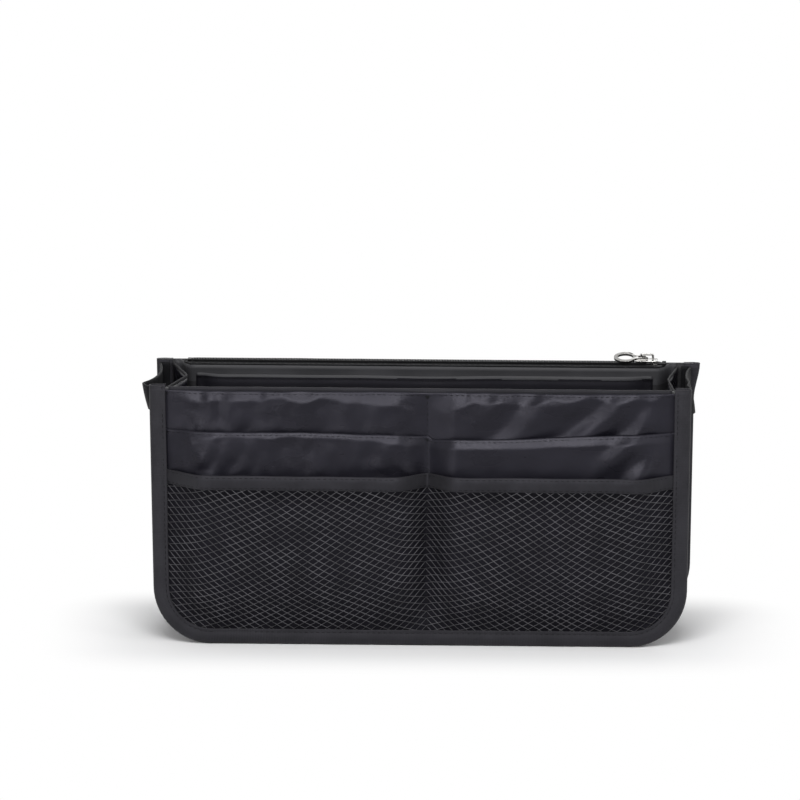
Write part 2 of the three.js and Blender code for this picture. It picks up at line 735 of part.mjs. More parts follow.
function pullTab() {
  const bar = PULL_THICK / 2;
  const neck = BRIDGE_WIDTH / 2 + PULL_PLAY + PULL_THICK;
  const ringX = -bar - PULL_EYE_LENGTH - PULL_RING_LENGTH / 2;
  const ringHalf = [PULL_RING_LENGTH / 2, PULL_RING_WIDTH / 2];
  const start = Math.asin(neck / ringHalf[1]);
  const steps = 20;
  const outline = [[bar, -neck], [bar, neck]];
  for (let i = 0; i <= steps; i++) {
    const turn = start + ((2 * Math.PI - 2 * start) * i) / steps;
    outline.push([ringX + ringHalf[0] * Math.cos(turn), ringHalf[1] * Math.sin(turn)]);
  }
  const eyeHalf = BRIDGE_WIDTH / 2 + PULL_PLAY;
  const eye = rectangle(-PULL_EYE_LENGTH, -bar, -eyeHalf, eyeHalf);
  const hole = [];
  for (let i = 0; i < steps; i++) {
    const turn = (2 * Math.PI * i) / steps;
    hole.push([
      ringX + (ringHalf[0] - PULL_RING_BAR) * Math.cos(turn),
      (ringHalf[1] - PULL_RING_BAR) * Math.sin(turn),
    ]);
  }
  return slabZ(outline, -bar, bar, [eye, hole]).translate(SLIDER_X, ZIP_Y, PULL_AXIS_Z);
}

// Grab straps: webbing sewn to the inner faces of both bindings, whose slack bows out beside the front wall
function strapGeometry(mirror) {
  const tabX = WIDTH / 2 - STRAP_TAB_INSET;
  const peak = WIDTH / 2 + STRAP_REACH - STRAP_THICK / 2;
  const bow = peak - tabX;
  const end = HALF_MOUTH - LAYER_GAP - BINDING_LEAF - SEAM_GAP - STRAP_THICK / 2;
  const path = [
    [tabX, -end],
    [tabX + bow * 0.42, -end],
    [tabX + bow * 0.76, -end + STRAP_TURN_DEPTH],
    [tabX + bow * 0.96, -end + STRAP_TURN_LENGTH],
    [peak, -end * 0.7],
    [tabX + bow * 0.7, -end * 0.48],
    [tabX + bow * 0.48, -end * 0.22],
    [tabX + bow * 0.34, end * 0.12],
    [tabX + bow * 0.34, end * 0.55],
    [tabX + bow * 0.44, end - STRAP_TURN_LENGTH],
    [tabX + bow * 0.46, end - STRAP_TURN_DEPTH],
    [tabX + bow * 0.37, end],
    [tabX, end],
  ];
  const leftSide = [];
  const rightSide = [];
  path.forEach(([x, y], i) => {
    const [px, py] = path[Math.max(0, i - 1)];
    const [nx, ny] = path[Math.min(path.length - 1, i + 1)];
    const length = Math.hypot(nx - px, ny - py);
    const normal = [-(ny - py) / length, (nx - px) / length];
    leftSide.push([mirror * (x + (normal[0] * STRAP_THICK) / 2), y + (normal[1] * STRAP_THICK) / 2]);
    rightSide.push([mirror * (x - (normal[0] * STRAP_THICK) / 2), y - (normal[1] * STRAP_THICK) / 2]);
  });
  const top = HEIGHT - STRAP_DROP;
  return slabZ([...leftSide, ...rightSide.reverse()], top - STRAP_WIDTH, top);
}

// Assembly

function part(name, geometry, color, roughness, metalness) {
  const bare = new THREE.BufferGeometry();
  bare.setAttribute("position", geometry.getAttribute("position"));
  bare.setIndex(geometry.index);
  bare.computeVertexNormals();
  const mesh = new THREE.Mesh(bare, new THREE.MeshStandardMaterial({ color, roughness, metalness }));
  mesh.name = name;
  return mesh;
}

const SATIN = [0x2e2d33, 0.45, 0];
const LINING = [0x232326, 0.7, 0];
const TAPE = [0x323235, 0.8, 0];
const NET = [0x28282b, 0.6, 0];
const BOARD = [0x6b6860, 0.9, 0];
const WEBBING = [0x2a2a2d, 0.8, 0];
const TEETH = [0x3a3a3f, 0.5, 0];
const NICKEL = [0xc3c6cb, 0.28, 1];

const front = new THREE.Group();
front.name = "front";
const upperTop = HEIGHT - UPPER_POCKET_DROP;
const middleTop = HEIGHT - MIDDLE_POCKET_DROP;
const outerTop = WALL_TOP - TOP_TAPE_DROP - LAYER_GAP;
const upperOutline = wallOutline(SHEET_INSET, upperTop);
const middleOutline = wallOutline(SHEET_INSET, middleTop);
const upperPocket = pocketSheet(
  FRONT, LAYER_UPPER, CLOTH_THICK, UPPER_SWELL, upperOutline, FRONT_BAYS, upperTop,
);
const middlePocket = pocketSheet(
  FRONT, LAYER_MIDDLE, CLOTH_THICK, MIDDLE_SWELL, middleOutline, FRONT_BAYS, middleTop,
);
front.add(part("front_lining", flatSheet(FRONT, 0, LINING_THICK, WALL_TOP), ...LINING));
front.add(part("front_stiffener", flatSheet(FRONT, LAYER_STIFFENER, STIFFENER_THICK, WALL_TOP), ...BOARD));
front.add(part("front_outer", flatSheet(FRONT, LAYER_OUTER, CLOTH_THICK, outerTop), ...SATIN));
front.add(part("front_top_binding", topTape(), ...TAPE));
front.add(part("upper_pocket", upperPocket, ...SATIN));
front.add(part("middle_pocket", middlePocket, ...SATIN));
front.add(part("mesh_net_left", netLeft(), ...NET));
front.add(part("mesh_net_right", netRight(), ...NET));
front.add(part("mesh_band", netBand(), ...TAPE));
front.add(part("front_binding", bindingGeometry(FRONT, FRONT_SLOT), ...TAPE));

const shell = new THREE.Group();
shell.name = "shell";
shell.add(part("rear_lining", flatSheet(REAR, 0, LINING_THICK, HEIGHT), ...LINING));
shell.add(part("rear_stiffener", flatSheet(REAR, LAYER_STIFFENER, STIFFENER_THICK, HEIGHT), ...BOARD));
shell.add(part("rear_outer", flatSheet(REAR, LAYER_OUTER, CLOTH_THICK, HEIGHT), ...SATIN));
shell.add(part("rear_pocket", rearPocket(), ...SATIN));
shell.add(part("rear_binding", bindingGeometry(REAR, REAR_SLOT), ...TAPE));
shell.add(part("pouch_wall", pouchWall(), ...LINING));
shell.add(part("inner_pocket", innerPocket(), ...LINING));
shell.add(part("base_strip", baseStrip(), ...SATIN));
shell.add(part("base_board", baseBoard(), ...BOARD));
shell.add(part("gusset_left", gussetGeometry(1), ...SATIN));
shell.add(part("gusset_right", gussetGeometry(-1), ...SATIN));
shell.add(part("gusset_hem_left", gussetHem(1), ...TAPE));
shell.add(part("gusset_hem_right", gussetHem(-1), ...TAPE));
shell.add(part("zipper_tape_front", zipTape(-1, FRONT_TAPE_EDGE), ...TAPE));
shell.add(part("zipper_tape_rear", zipTape(1, REAR_TAPE_EDGE), ...TAPE));
shell.add(part("zipper_teeth_front", toothRow(-1, 0), ...TEETH));
shell.add(part("zipper_teeth_rear", toothRow(1, TOOTH_PITCH / 2), ...TEETH));
shell.add(part("zipper_stop_left", leftStop(), ...TEETH));
shell.add(part("zipper_stop_right_front", rightStop(-1), ...TEETH));
shell.add(part("zipper_stop_right_rear", rightStop(1), ...TEETH));

const slider = new THREE.Group();
slider.name = "slider";
slider.add(part("slider_body", sliderBody(), ...NICKEL));
slider.add(part("slider_bridge", sliderBridge(), ...NICKEL));
slider.add(part("pull_tab", pullTab(), ...NICKEL));

const straps = new THREE.Group();
straps.name = "straps";
straps.add(part("handle_left_strap", strapGeometry(-1), ...WEBBING));
straps.add(part("handle_right_strap", strapGeometry(1), ...WEBBING));

// The whole is centred front to back on the floor it covers.
const organizer = new THREE.Group();
organizer.name = "purse_organizer_insert";
const placed = new THREE.Group();
placed.position.y = (FRONT_REACH - REAR_REACH) / 2;
placed.add(front, shell, slider, straps);
organizer.add(placed);

export default organizer;
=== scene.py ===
"""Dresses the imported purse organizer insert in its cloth, nets, tape, webbing, zipper and metal."""
import functools
import math

import bmesh
import bpy
from bpy.props import FloatProperty, FloatVectorProperty, PointerProperty
from mathutils import Matrix, Vector, noise


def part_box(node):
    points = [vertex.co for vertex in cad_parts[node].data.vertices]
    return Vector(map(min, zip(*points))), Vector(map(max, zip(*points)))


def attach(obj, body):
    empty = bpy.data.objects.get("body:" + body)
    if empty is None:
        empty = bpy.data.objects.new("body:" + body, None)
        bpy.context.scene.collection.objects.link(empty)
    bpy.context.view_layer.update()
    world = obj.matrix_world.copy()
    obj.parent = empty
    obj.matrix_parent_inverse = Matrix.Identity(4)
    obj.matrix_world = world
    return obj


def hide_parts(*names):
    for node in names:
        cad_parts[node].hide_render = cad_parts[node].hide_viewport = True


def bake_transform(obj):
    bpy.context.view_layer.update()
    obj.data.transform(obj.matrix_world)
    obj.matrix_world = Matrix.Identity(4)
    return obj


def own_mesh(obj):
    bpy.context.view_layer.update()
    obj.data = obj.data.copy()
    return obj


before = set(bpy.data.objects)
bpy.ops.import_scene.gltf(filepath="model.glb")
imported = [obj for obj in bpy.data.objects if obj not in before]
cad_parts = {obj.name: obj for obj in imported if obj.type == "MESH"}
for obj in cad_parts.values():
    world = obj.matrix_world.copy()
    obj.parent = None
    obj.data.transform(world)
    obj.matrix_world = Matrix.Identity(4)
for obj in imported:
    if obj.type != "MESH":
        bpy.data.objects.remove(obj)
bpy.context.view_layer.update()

bl_info = {
    "name": "Purse organizer insert",
    "version": (1, 0, 0),
    "blender": (4, 5, 0),
    "location": "View3D > Sidebar > Organizer",
    "description": "Models the cloth, nets, tape and metal of a purse organizer insert around its frame",
    "category": "Object",
}

MM = 0.001
FRONT = -1
REAR = 1
LEFT = -1
RIGHT = 1
SIDE_NAMES = {LEFT: "left", RIGHT: "right"}
UP = Vector((0, 0, 1))


def near(node, axis):
    """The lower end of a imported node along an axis."""
    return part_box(node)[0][axis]


def far(node, axis):
    """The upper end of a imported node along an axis."""
    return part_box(node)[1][axis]


def middle_of(node, axis):
    """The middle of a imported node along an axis."""
    return (near(node, axis) + far(node, axis)) / 2


# Walls
HALF_WIDTH = far("front_binding", 0)
HEIGHT = far("front_binding", 2)
FRONT_FACE = far("front_lining", 1)
REAR_FACE = near("rear_lining", 1)
MOUTH_MIDDLE = (FRONT_FACE + REAR_FACE) / 2
CORNER = 32 * MM
CORNER_ROWS = 10
SIDE_TAPER = 0.018
SHEET_INSET = near("front_outer", 2)
CLOTH = 0.4 * MM

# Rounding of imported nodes
WELD = 0.001 * MM
FLAT_ANGLE = math.radians(1)
SHARP_ANGLE = math.radians(30)

# Bindings and seams
BINDING_WIDTH = 9 * MM
BINDING_LEAF = 0.6 * MM
BINDING_SEAM = 7.3 * MM
RIM_SIDE_STEPS = 38
RIM_CORNER_STEPS = 16
RIM_FOOT_STEPS = 40
FLARE = 3 * MM
TOP_TAPE = 0.4 * MM
TOP_TAPE_WIDTH = 14 * MM
TOP_TAPE_SEAM = 1.4 * MM
HEM_SEAM = 1.7 * MM
HEM_TACK = 2.2 * MM
SEAM_STEPS = 150
STITCH_LIFT = 0.45
TACK_STITCHES = 6
TACK_SPACING = 0.8

# Pockets
DIVIDER = 4 * MM
DIVIDER_FLAT = 0.3 * MM
DIVIDER_SLOPE = 17 * MM
REAR_DIVIDER = 0.0
BAY_SIDE = 22 * MM
BAY_RISE = 33 * MM
HEM_HEIGHT = 7 * MM
MOST_HEM_LEAN = 3.2 * MM
BAND_FOOT = near("mesh_band", 2)
NET_CELLS = 56
NET_CORNER_CUTS = 6
NET_INSET = 3.4 * MM
NET_MERGE = 0.5 * MM
POUCH_REACH = 136 * MM
POUCH_FLOOR = 26 * MM
POUCH_SIDE = 7 * MM
POUCH_RISE = 12 * MM
POUCH_CLOTH = 0.5 * MM
# Height of the inner pocket's hem edge that carries a painted highlight
INNER_HEM_PAINTED_LIGHT = 1.7 * MM
INNER_SEAM = 1.6 * MM
INNER_SLOPE = 13 * MM

# Gussets and base
GUSSET_INSET = 9.6 * MM
GUSSET_CLOTH = 0.6 * MM
GUSSET_STEPS = 44
GUSSET_LENGTH = 170 * MM
FOLD_DEPTHS = {LEFT: 10 * MM, RIGHT: 4.5 * MM}
FOLD_START = 44 * MM
FOLD_ROUND = 0.08
GUSSET_HEM_HALF = 0.62 * MM
GUSSET_HEM_SIDES = 10
BASE_TUCK = 0.3 * MM
BOARD_ROUND = 0.7 * MM

# Zipper
ZIP_MIDDLE = middle_of("slider_body", 1)
ZIP_SLIT = 0.4 * MM
ZIP_THROAT = 1.8 * MM
ZIP_THROAT_START = middle_of("slider_body", 0)
ZIP_THROAT_LENGTH = 1.4 * MM
ZIP_TAPE_SHOULDER = 0.4
ZIP_TAPE_SEAM = 0.74
CHAIN_END = -near("zipper_teeth_front", 0)
ZIP_TAPE_END = far("zipper_tape_front", 0) - CHAIN_END
TOOTH_PITCH = 3 * MM
TOOTH_WIDTH = 1 * MM
TOOTH_CORD = 0.8 * MM
TOOTH_ROUND = 0.24 * MM
STOP_ROUND = 0.32 * MM

# Straps, in millimetres from the wall's middle and from the mouth's middle
STRAP_PATH = (
    (142.5, -33.35), (147.1, -33.35), (150.8, -32.15), (153, -28.35), (153.4, -23.35), (150.15, -16),
    (147.75, -7.35), (146.2, 4), (146.2, 18.35), (147.3, 28.35), (147.5, 32.15), (146.55, 33.35),
    (142.5, 33.35))
STRAP_THICK = 1.2 * MM

CLOTH_PATCH = 34 * MM
TAPE_PATCH = 18 * MM
TAPE_LINES = 0.5 * MM
CHEVRON_ROW = 3.5 * MM
WHITE = (1, 1, 1, 1)
COOL = (0.88, 0.86, 1, 1)
PALE_COOL = (0.9, 0.88, 1, 1)

# Cloths: finish and colour, name, thread pitch and relief in millimetres, roughness, shine and its tint
CLOTHS = (
    ("satin", "Satin cloth", 0.36, 0.05, 0.29, 0.22, COOL),
    ("lining", "Lining cloth", 0.5, 0.08, 0.62, 0.25, WHITE),
    # Darker than the lining: painted shade inside the zip pouch
    ("inner", "Inner pocket cloth", 0.5, 0.08, 0.6, 0.13, COOL),
    # Lighter cloth that paints the light falling on the top of the pouch's wall and on the inner pocket's hem
    ("facing", "Facing cloth", 0.5, 0.06, 0.55, 0.25, WHITE),
    # Darker, matt cloth behind the nets: painted shade where the nets and band shade the pocket
    ("backing", "Net backing cloth", 0.5, 0.08, 0.6, 0.12, COOL))

# Tapes: finish, name, colour, rib pitch and relief in millimetres, slant of the ribs, roughness, shine and
# its tint, sheen and its roughness
TAPES = (
    ("tape", "Binding tape", "tape", 0.9, 0.14, 0.0, 0.66, 0.19, PALE_COOL, 0.04, 0.5),
    ("band", "Band tape", "tape", 0.7, 0.1, 0.0, 0.55, 0.155, COOL, 0.03, 0.45),
    ("hem", "Hem tape", "tape", 0.7, 0.1, 0.0, 0.65, 0.06, WHITE, 0.03, 0.45),
    ("webbing", "Strap webbing", "webbing", 1.3, 0.25, 1.0, 0.6, 0.04, WHITE, 0.01, 0.5),
    ("zip_tape", "Zipper tape", "webbing", 0.8, 0.1, 0.6, 0.6, 0.03, WHITE, 0.01, 0.5))

# Grained finishes: finish and colour, name, patch size in millimetres, share of lint in the tone, darkest and
# lightest shade, least and most roughness and what it follows, strength and depth in millimetres of the
# relief, shine, metal
GRAINS = (
    ("net", "Net yarn", 12, 0.4, (0.4, 1.6), (0.47, 0.63), "Patch", 0.4, 0.15, 0.35, 0),
    ("thread", "Sewing thread", 12, 0.4, (0.4, 1.6), (0.52, 0.68), "Patch", 0.4, 0.15, 0.1, 0),
    ("teeth", "Zipper teeth", 9, 0, (0.8, 1.2), (0.36, 0.52), "Lint", 0.25, 0.08, 0.1, 0),
    ("board", "Stiffening sheet", 9, 0, (0.8, 1.2), (0.54, 0.7), "Lint", 0.25, 0.08, 0.4, 0),
    ("nickel", "Nickel plate", 5, 0, (0.86, 1.06), (0.16, 0.34), "Lint", 0.12, 0.04, 0.5, 1))

# Stage: lamps as name, place, height that they are aimed at, width, depth and power
LAMPS = (
    ("front_box", (0, -1.25, 1.1), 0.1, 0.76, 0.72, 19),
    ("side_fill", (1.4, -1.0, 0.7), 0.08, 0.45, 1.0, 6.5),
    ("left_strip", (-0.75, -1.35, 0.3), 0.1, 0.18, 0.9, 6),
    ("rear_fill", (0.2, 1.6, 1.0), 0.1, 1.2, 0.9, 6))
WORLD_LIGHT = 0.42
FLOOR_HALF = 9
FLOOR_FADE = 0.065
PHOTO_SIZE = 800
METRES_PER_PIXEL = 0.5545 * MM
PHOTO_AZIMUTH = 2.4
PHOTO_ELEVATION = 11.6
CAMERA_DISTANCE = 8.0
SENSOR = 36.0
AIM = Vector((-12.4 * MM, 0, 132.4 * MM))


def length(name, description, value):
    """A length in millimetres that a user would change."""
    return FloatProperty(name=name, description=description, default=value * MM, unit="LENGTH")


def colour(name, description, value):
    """A colour that a user would change."""
    return FloatVectorProperty(
        name=name, description=description, default=value, subtype="COLOR", size=3, min=0, max=1)


class OrganizerSizes(bpy.types.PropertyGroup):
    """Sizes of the details that the cloth, nets and seams carry."""

    hem_lean: length("Hem lean", "How far a pocket's top edge leans back", 2.6)
    hem_roll: length("Hem roll", "Height of the leaning part of a pocket's top", 5.4)
    fold_height: length("Fold height", "How high the soft folds of a pocket stand", 1.5)
    net_cell_width: length("Net cell width", "Width of one diamond of the net", 6.2)
    net_cell_height: length("Net cell height", "Height of one diamond of the net", 4.0)
    net_strand: length("Net strand", "Thickness of the net's strands", 0.58)
    stitch: length("Stitch", "Length of one stitch", 2.5)
    stitch_gap: length("Stitch gap", "Gap between two stitches", 0.6)
    thread: length("Thread", "Thickness of the sewing thread", 0.42)


class OrganizerColours(bpy.types.PropertyGroup):
    """Colours of the organizer's finishes."""

    satin: colour("Satin", "Satin cloth of the pockets and walls", (0.0058, 0.0055, 0.0082))
    lining: colour("Lining", "Lining cloth of the inside", (0.014, 0.0138, 0.0152))
    # Painted shade: darker than the lining, for the shaded inside of the pouch
    inner: colour("Inner pocket", "Cloth of the inner slip pocket", (0.0048, 0.0046, 0.0062))
    # Painted light: lighter than the lining, for the lit top band and hem edge
    facing: colour("Facing", "Painted light along the top of the zip pouch and the inner pocket's hem", (0.03, 0.03, 0.033))
    # Painted shade: darker than the satin, for the cloth seen through the nets
    backing: colour("Backing", "Matt cloth behind the nets", (0.0045, 0.0043, 0.0062))
    tape: colour("Tape", "Ribbed tape of the bindings, band and hems", (0.0135, 0.0132, 0.0152))
    net: colour("Net", "Strands of the nets", (0.056, 0.055, 0.061))
    webbing: colour("Webbing", "Woven straps and zipper tapes", (0.009, 0.009, 0.01))
    thread: colour("Thread", "Sewing thread", (0.006, 0.006, 0.007))
    teeth: colour("Teeth", "Moulded zipper teeth and stops", (0.006, 0.006, 0.0065))
    board: colour("Board", "Stiffening sheets inside the walls and base", (0.05, 0.05, 0.052))
    nickel: colour("Nickel", "Plated slider and pull", (0.36, 0.355, 0.345))
    floor: colour("Floor", "Floor of the studio", (0.9, 0.9, 0.904))


def sizes():
    """The sizes that the user may have changed."""
    return bpy.context.scene.organizer_sizes


# Shapes of cloth

def clamp(share):
    """A share held between nothing and the whole."""
    return min(1.0, max(0.0, share))


def smooth(share):
    """A share that starts and ends gently."""
    share = clamp(share)
    return share * share * (3 - 2 * share)


def rise(value, start, reach):
    """A share that grows gently from nothing at start over a reach, both in millimetres."""
    return smooth((value - start * MM) / (reach * MM))


def fall(value, end, reach):
    """A share that shrinks gently to nothing at end over a reach, both in millimetres."""
    return smooth((end * MM - value) / (reach * MM))


def crown(z, top, reach):
    """A share that grows gently over a reach to the whole at the top."""
    return smooth(1 - (top - z) / reach)


def filled(share):
    """Rises steeply from a seam and levels out, as filled cloth does."""
    return math.sin(math.pi / 2 * clamp(share))


def puffed(share):
    """Leaves a seam softly and levels out, as a padded seam does."""
    return (smooth(share) + filled(share)) / 2


def hump(value, middle, width):
    """A soft bump that is 1 at its middle, with its place and width in millimetres."""
    return math.exp(-((value - middle * MM) / (width * MM)) ** 2)


def waver(x, z, size, seed):
    """Smooth noise from -1 to 1 with bumps of about the given size in millimetres."""
    return noise.noise(Vector((x / (size * MM), z / (size * MM), seed)))


def taper(z):
    """Share of the full width that the walls have at a height."""
    return 1 - SIDE_TAPER * (1 - z / HEIGHT)


def half_width(z, inset):
    """Half of a wall's width at a height, for an outline that lies inset inside the edge."""
    if z >= CORNER:
        return (HALF_WIDTH - inset) * taper(z)
    reach = (CORNER - inset) ** 2 - (CORNER - z) ** 2
    return (HALF_WIDTH - CORNER + math.sqrt(max(0.0, reach))) * taper(z)


def inside(x, z):
    """How far a place lies inside the binding at a wall's side."""
    return half_width(z, BINDING_WIDTH) - abs(x)


def beside_seam(x, divider):
    """How far cloth has risen beside a dividing seam."""
    return puffed((abs(x - divider) - DIVIDER_FLAT) / DIVIDER_SLOPE)


def pocket_share(x, z, divider=DIVIDER):
    """How full a sewn pocket is at a place: nothing along its seams, and the whole inside."""
    past = max(0.0, abs(x) - (HALF_WIDTH - CORNER))
    foot = CORNER - math.sqrt(max(0.0, (CORNER - BINDING_WIDTH) ** 2 - past ** 2))
    return puffed(inside(x, z) / BAY_SIDE) * beside_seam(x, divider) * puffed((z - foot) / BAY_RISE)


def layer_of(node, thick, side):
    """Depth of a wall layer's flat middle, and how far the layer swells from it."""
    inner = far(node, 1) if side == FRONT else near(node, 1)
    swell = far(node, 1) - near(node, 1) - thick
    return inner + side * thick / 2, side * swell


def span(reach, steps):
    """Places from one end to the other of a line that reaches equally far to both sides."""
    return [-reach + 2 * reach * i / steps for i in range(steps + 1)]


def line_length(points):
    """Length of a line through points."""
    return sum((end - start).length for start, end in zip(points, points[1:]))


def cloth_grid(place, flat, columns, rows):
    """A grid of cloth with a flat map in metres, each point put in its place by its two shares."""
    bm = bmesh.new()
    bmesh.ops.create_grid(bm, x_segments=columns, y_segments=rows, size=0.5)
    flat_map = bm.loops.layers.uv.new("flat")
    for face in bm.faces:
        for loop in face.loops:
            loop[flat_map].uv = ((loop.vert.co.x + 0.5) * flat[0], (loop.vert.co.y + 0.5) * flat[1])
    for vert in bm.verts:
        vert.co = place(vert.co.x + 0.5, vert.co.y + 0.5)
    return bm


def wall_grid(node, place, columns, spacing, inset=SHEET_INSET):
    """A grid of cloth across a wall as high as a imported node. Its rows lie close round the corners; spacing
    says, in millimetres, from where upwards they are fine, and their steps below and above that."""
    change, coarse, fine = (value * MM for value in spacing)
    turns = [math.pi / 2 * i / CORNER_ROWS for i in range(CORNER_ROWS)]
    rows = [CORNER - (CORNER - inset) * math.cos(turn) for turn in turns]
    for low, high, step in ((CORNER, change, coarse), (change, far(node, 2), fine)):
        count = max(1, round((high - low) / step))
        rows += [low + (high - low) * i / count for i in range(count)]
    rows.append(far(node, 2))
    last = len(rows) - 1

    def at(u, v):
        z = rows[round(v * last)]
        return place((2 * u - 1) * half_width(z, inset), z)

    return cloth_grid(at, (2 * HALF_WIDTH, rows[-1] - rows[0]), columns, last)


def made_thick(bm, thick):
    """Turns a sheet into a closed body of the given thickness about its middle."""
    bmesh.ops.recalc_face_normals(bm, faces=bm.faces[:])
    for vert in bm.verts:
        vert.co += vert.normal * thick / 2
    bmesh.ops.solidify(bm, geom=bm.faces[:], thickness=thick)
    bmesh.ops.recalc_face_normals(bm, faces=bm.faces[:])
    return bm


def softened(node, radius, segments):
    """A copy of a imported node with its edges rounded."""
    bm = bmesh.new()
    bm.from_mesh(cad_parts[node].data)
    bmesh.ops.remove_doubles(bm, verts=bm.verts, dist=WELD)
    bmesh.ops.dissolve_limit(bm, angle_limit=FLAT_ANGLE, verts=bm.verts, edges=bm.edges)
    sharp = [edge for edge in bm.edges if edge.calc_face_angle(0) > SHARP_ANGLE]
    bmesh.ops.bevel(
        bm, geom=sharp, offset=radius, affect="EDGES", segments=segments, profile=0.5, material=-1,
        clamp_overlap=True)
    return bm


def piece(name, bm, look):
    """A finished mesh as a piece of the object, with its finish and that finish's slot."""
    for face in bm.faces:
        face.smooth = True
    mesh = bpy.data.meshes.new(name)
    bm.to_mesh(mesh)
    bm.free()
    mesh.materials.append(finishes()[look])
    made = bpy.data.objects.new(name, mesh)
    bpy.context.scene.collection.objects.link(made)
    return made


def worn_by(made, body, *nodes):
    """Puts a piece on a body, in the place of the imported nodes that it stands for."""
    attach(made, body)
    if nodes:
        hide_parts(*nodes)
    return made


def sheet_piece(name, bm, look, thick, body, node):
    """A sheet with its thickness, half to each side, worn by a body."""
    made = piece(name, bm, look)
    shell = made.modifiers.new("Cloth thickness", "SOLIDIFY")
    shell.thickness = thick
    shell.offset = 0
    return worn_by(made, body, node)


def partly(made, look, chosen):
    """Gives the faces of a piece that are chosen by their middle another finish."""
    made.data.materials.append(finishes()[look])
    for face in made.data.polygons:
        if chosen(face.center):
            face.material_index = 1


# Seams

def sew(bm, line, out):
    """A row of stitches along a line of points, each half sunk in the cloth that faces out."""
    size = sizes()
    pitch = size.stitch + size.stitch_gap
    lengths = [0.0]
    for start, end in zip(line, line[1:]):
        lengths.append(lengths[-1] + (end - start).length)

    def at(distance):
        i = next(k for k in range(1, len(line)) if lengths[k] >= distance or k == len(line) - 1)
        share = (distance - lengths[i - 1]) / max(lengths[i] - lengths[i - 1], 1e-9)
        return line[i - 1].lerp(line[i], clamp(share))

    for i in range(int(lengths[-1] / pitch)):
        start = at(i * pitch)
        end = at(i * pitch + size.stitch)
        along = (end - start) / 2
        across = out.cross(along).normalized() * size.thread / 2
        lift = out.normalized() * size.thread * STITCH_LIFT
        shape = Matrix((along, across, lift)).transposed().to_4x4()
        place = Matrix.Translation((start + end) / 2) @ shape
        bmesh.ops.create_icosphere(bm, subdivisions=1, radius=1, matrix=place)


def bar_tack(bm, place, out):
    """A short stack of close upright stitches across the end of a seam."""
    size = sizes()
    along = out.cross(UP).normalized()
    # A little over one pitch, so that one stitch fits
    pitch = (size.stitch + size.stitch_gap) * 1.01
    for i in range(TACK_STITCHES):
        aside = along * (i - (TACK_STITCHES - 1) / 2) * size.thread * TACK_SPACING
        start = place + aside - UP * size.stitch / 2
        sew(bm, [start, start + UP * pitch], out)


def stitches(name, body, rows, tacks=()):
    """Rows of stitches on one body, each a line of points and the way its cloth faces, and bar tacks."""
    bm = bmesh.new()
    for line, out in rows:
        sew(bm, line, out)
    for place, out in tacks:
        bar_tack(bm, place, out)
    worn_by(piece(name, bm, "thread"), body)


def seam_on(place, side, columns, heights):
    """A seam on the face of placed cloth, at every column and height, with the way the cloth faces."""
    out = Vector((0, side, 0))
    return [place(x, z) + out * CLOTH / 2 for x in columns for z in heights], out


def sew_pocket(node, body, place, side, divider, heights, tacked):
    """Stitches along a pocket's hem and down its dividing seam, with bar tacks if it is tacked."""
    top = far(node, 2)
    ends = half_width(top, BINDING_WIDTH)
    hem = seam_on(place, side, span(ends, SEAM_STEPS), [top - HEM_SEAM])
    seam = seam_on(place, side, [divider], heights)
    spots, out = seam_on(place, side, (-ends, divider, ends), [top - HEM_TACK])
    stitches(node + "_stitches", body, [hem, seam], [(spot, out) for spot in spots] if tacked else ())


# Finishes

def add(tree, kind, values, **settings):
    """A node with its settings, whose inputs take plain values or are linked to sockets."""
    node = tree.nodes.new("ShaderNode" + kind)
    for label, value in settings.items():
        setattr(node, label, value)
    for label, value in values.items():
        if isinstance(value, bpy.types.NodeSocket):
            tree.links.new(value, node.inputs[label])
        else:
            node.inputs[label].default_value = value
    return node


def calc(tree, operation, *values):
    """A maths node over values that are numbers or sockets."""
    return add(tree, "Math", dict(enumerate(values)), operation=operation).outputs[0]


def wave(tree, value, pitch):
    """A sine over a length, with one wave each pitch."""
    turns = calc(tree, "MULTIPLY", calc(tree, "DIVIDE", value, pitch), 2 * math.pi)
    return calc(tree, "SINE", turns)


def node_group(name, outputs, **inputs):
    """An empty shader group that reads coordinates and values, with its first and its last node."""
    group = bpy.data.node_groups.new(name, "ShaderNodeTree")
    group.interface.new_socket("Vector", in_out="INPUT", socket_type="NodeSocketVector")
    for label, value in inputs.items():
        socket = group.interface.new_socket(label, in_out="INPUT", socket_type="NodeSocketFloat")
        socket.default_value = value
    for label in outputs:
        group.interface.new_socket(label, in_out="OUTPUT", socket_type="NodeSocketFloat")
    return group, group.nodes.new("NodeGroupInput").outputs, group.nodes.new("NodeGroupOutput").inputs


@functools.cache
def weave_group():
    """Threads that pass over and under each other, and the slight difference in tone between them."""
    group, given, put = node_group("Thread weave", ("Height", "Tone"), Pitch=0.5 * MM)
    split = add(group, "SeparateXYZ", {0: given["Vector"]}).outputs
    warp, weft = (wave(group, split[axis], given["Pitch"]) for axis in (0, 1))
    for label, value in (("Height", calc(group, "MULTIPLY", warp, weft)), ("Tone", warp)):
        group.links.new(calc(group, "MULTIPLY_ADD", value, 0.5, 0.5), put[label])
    return group


@functools.cache
def rib_group():
    """Ribs that run across a tape or slant into a herringbone, crossed by fine lines along it."""
    group, given, put = node_group("Tape ribs", ("Height", "Tone"), Pitch=0.9 * MM, Chevron=0.0)
    split = add(group, "SeparateXYZ", {0: given["Vector"]}).outputs
    row = calc(group, "PINGPONG", split[1], CHEVRON_ROW)
    slant = calc(group, "MULTIPLY_ADD", row, given["Chevron"], split[0])
    ribs = wave(group, slant, given["Pitch"])
    height = calc(group, "MULTIPLY_ADD", wave(group, split[1], TAPE_LINES), 0.18, ribs)
    for label, value, share in (("Height", height, 0.42), ("Tone", ribs, 0.5)):
        group.links.new(calc(group, "MULTIPLY_ADD", value, share, 0.5), put[label])
    return group


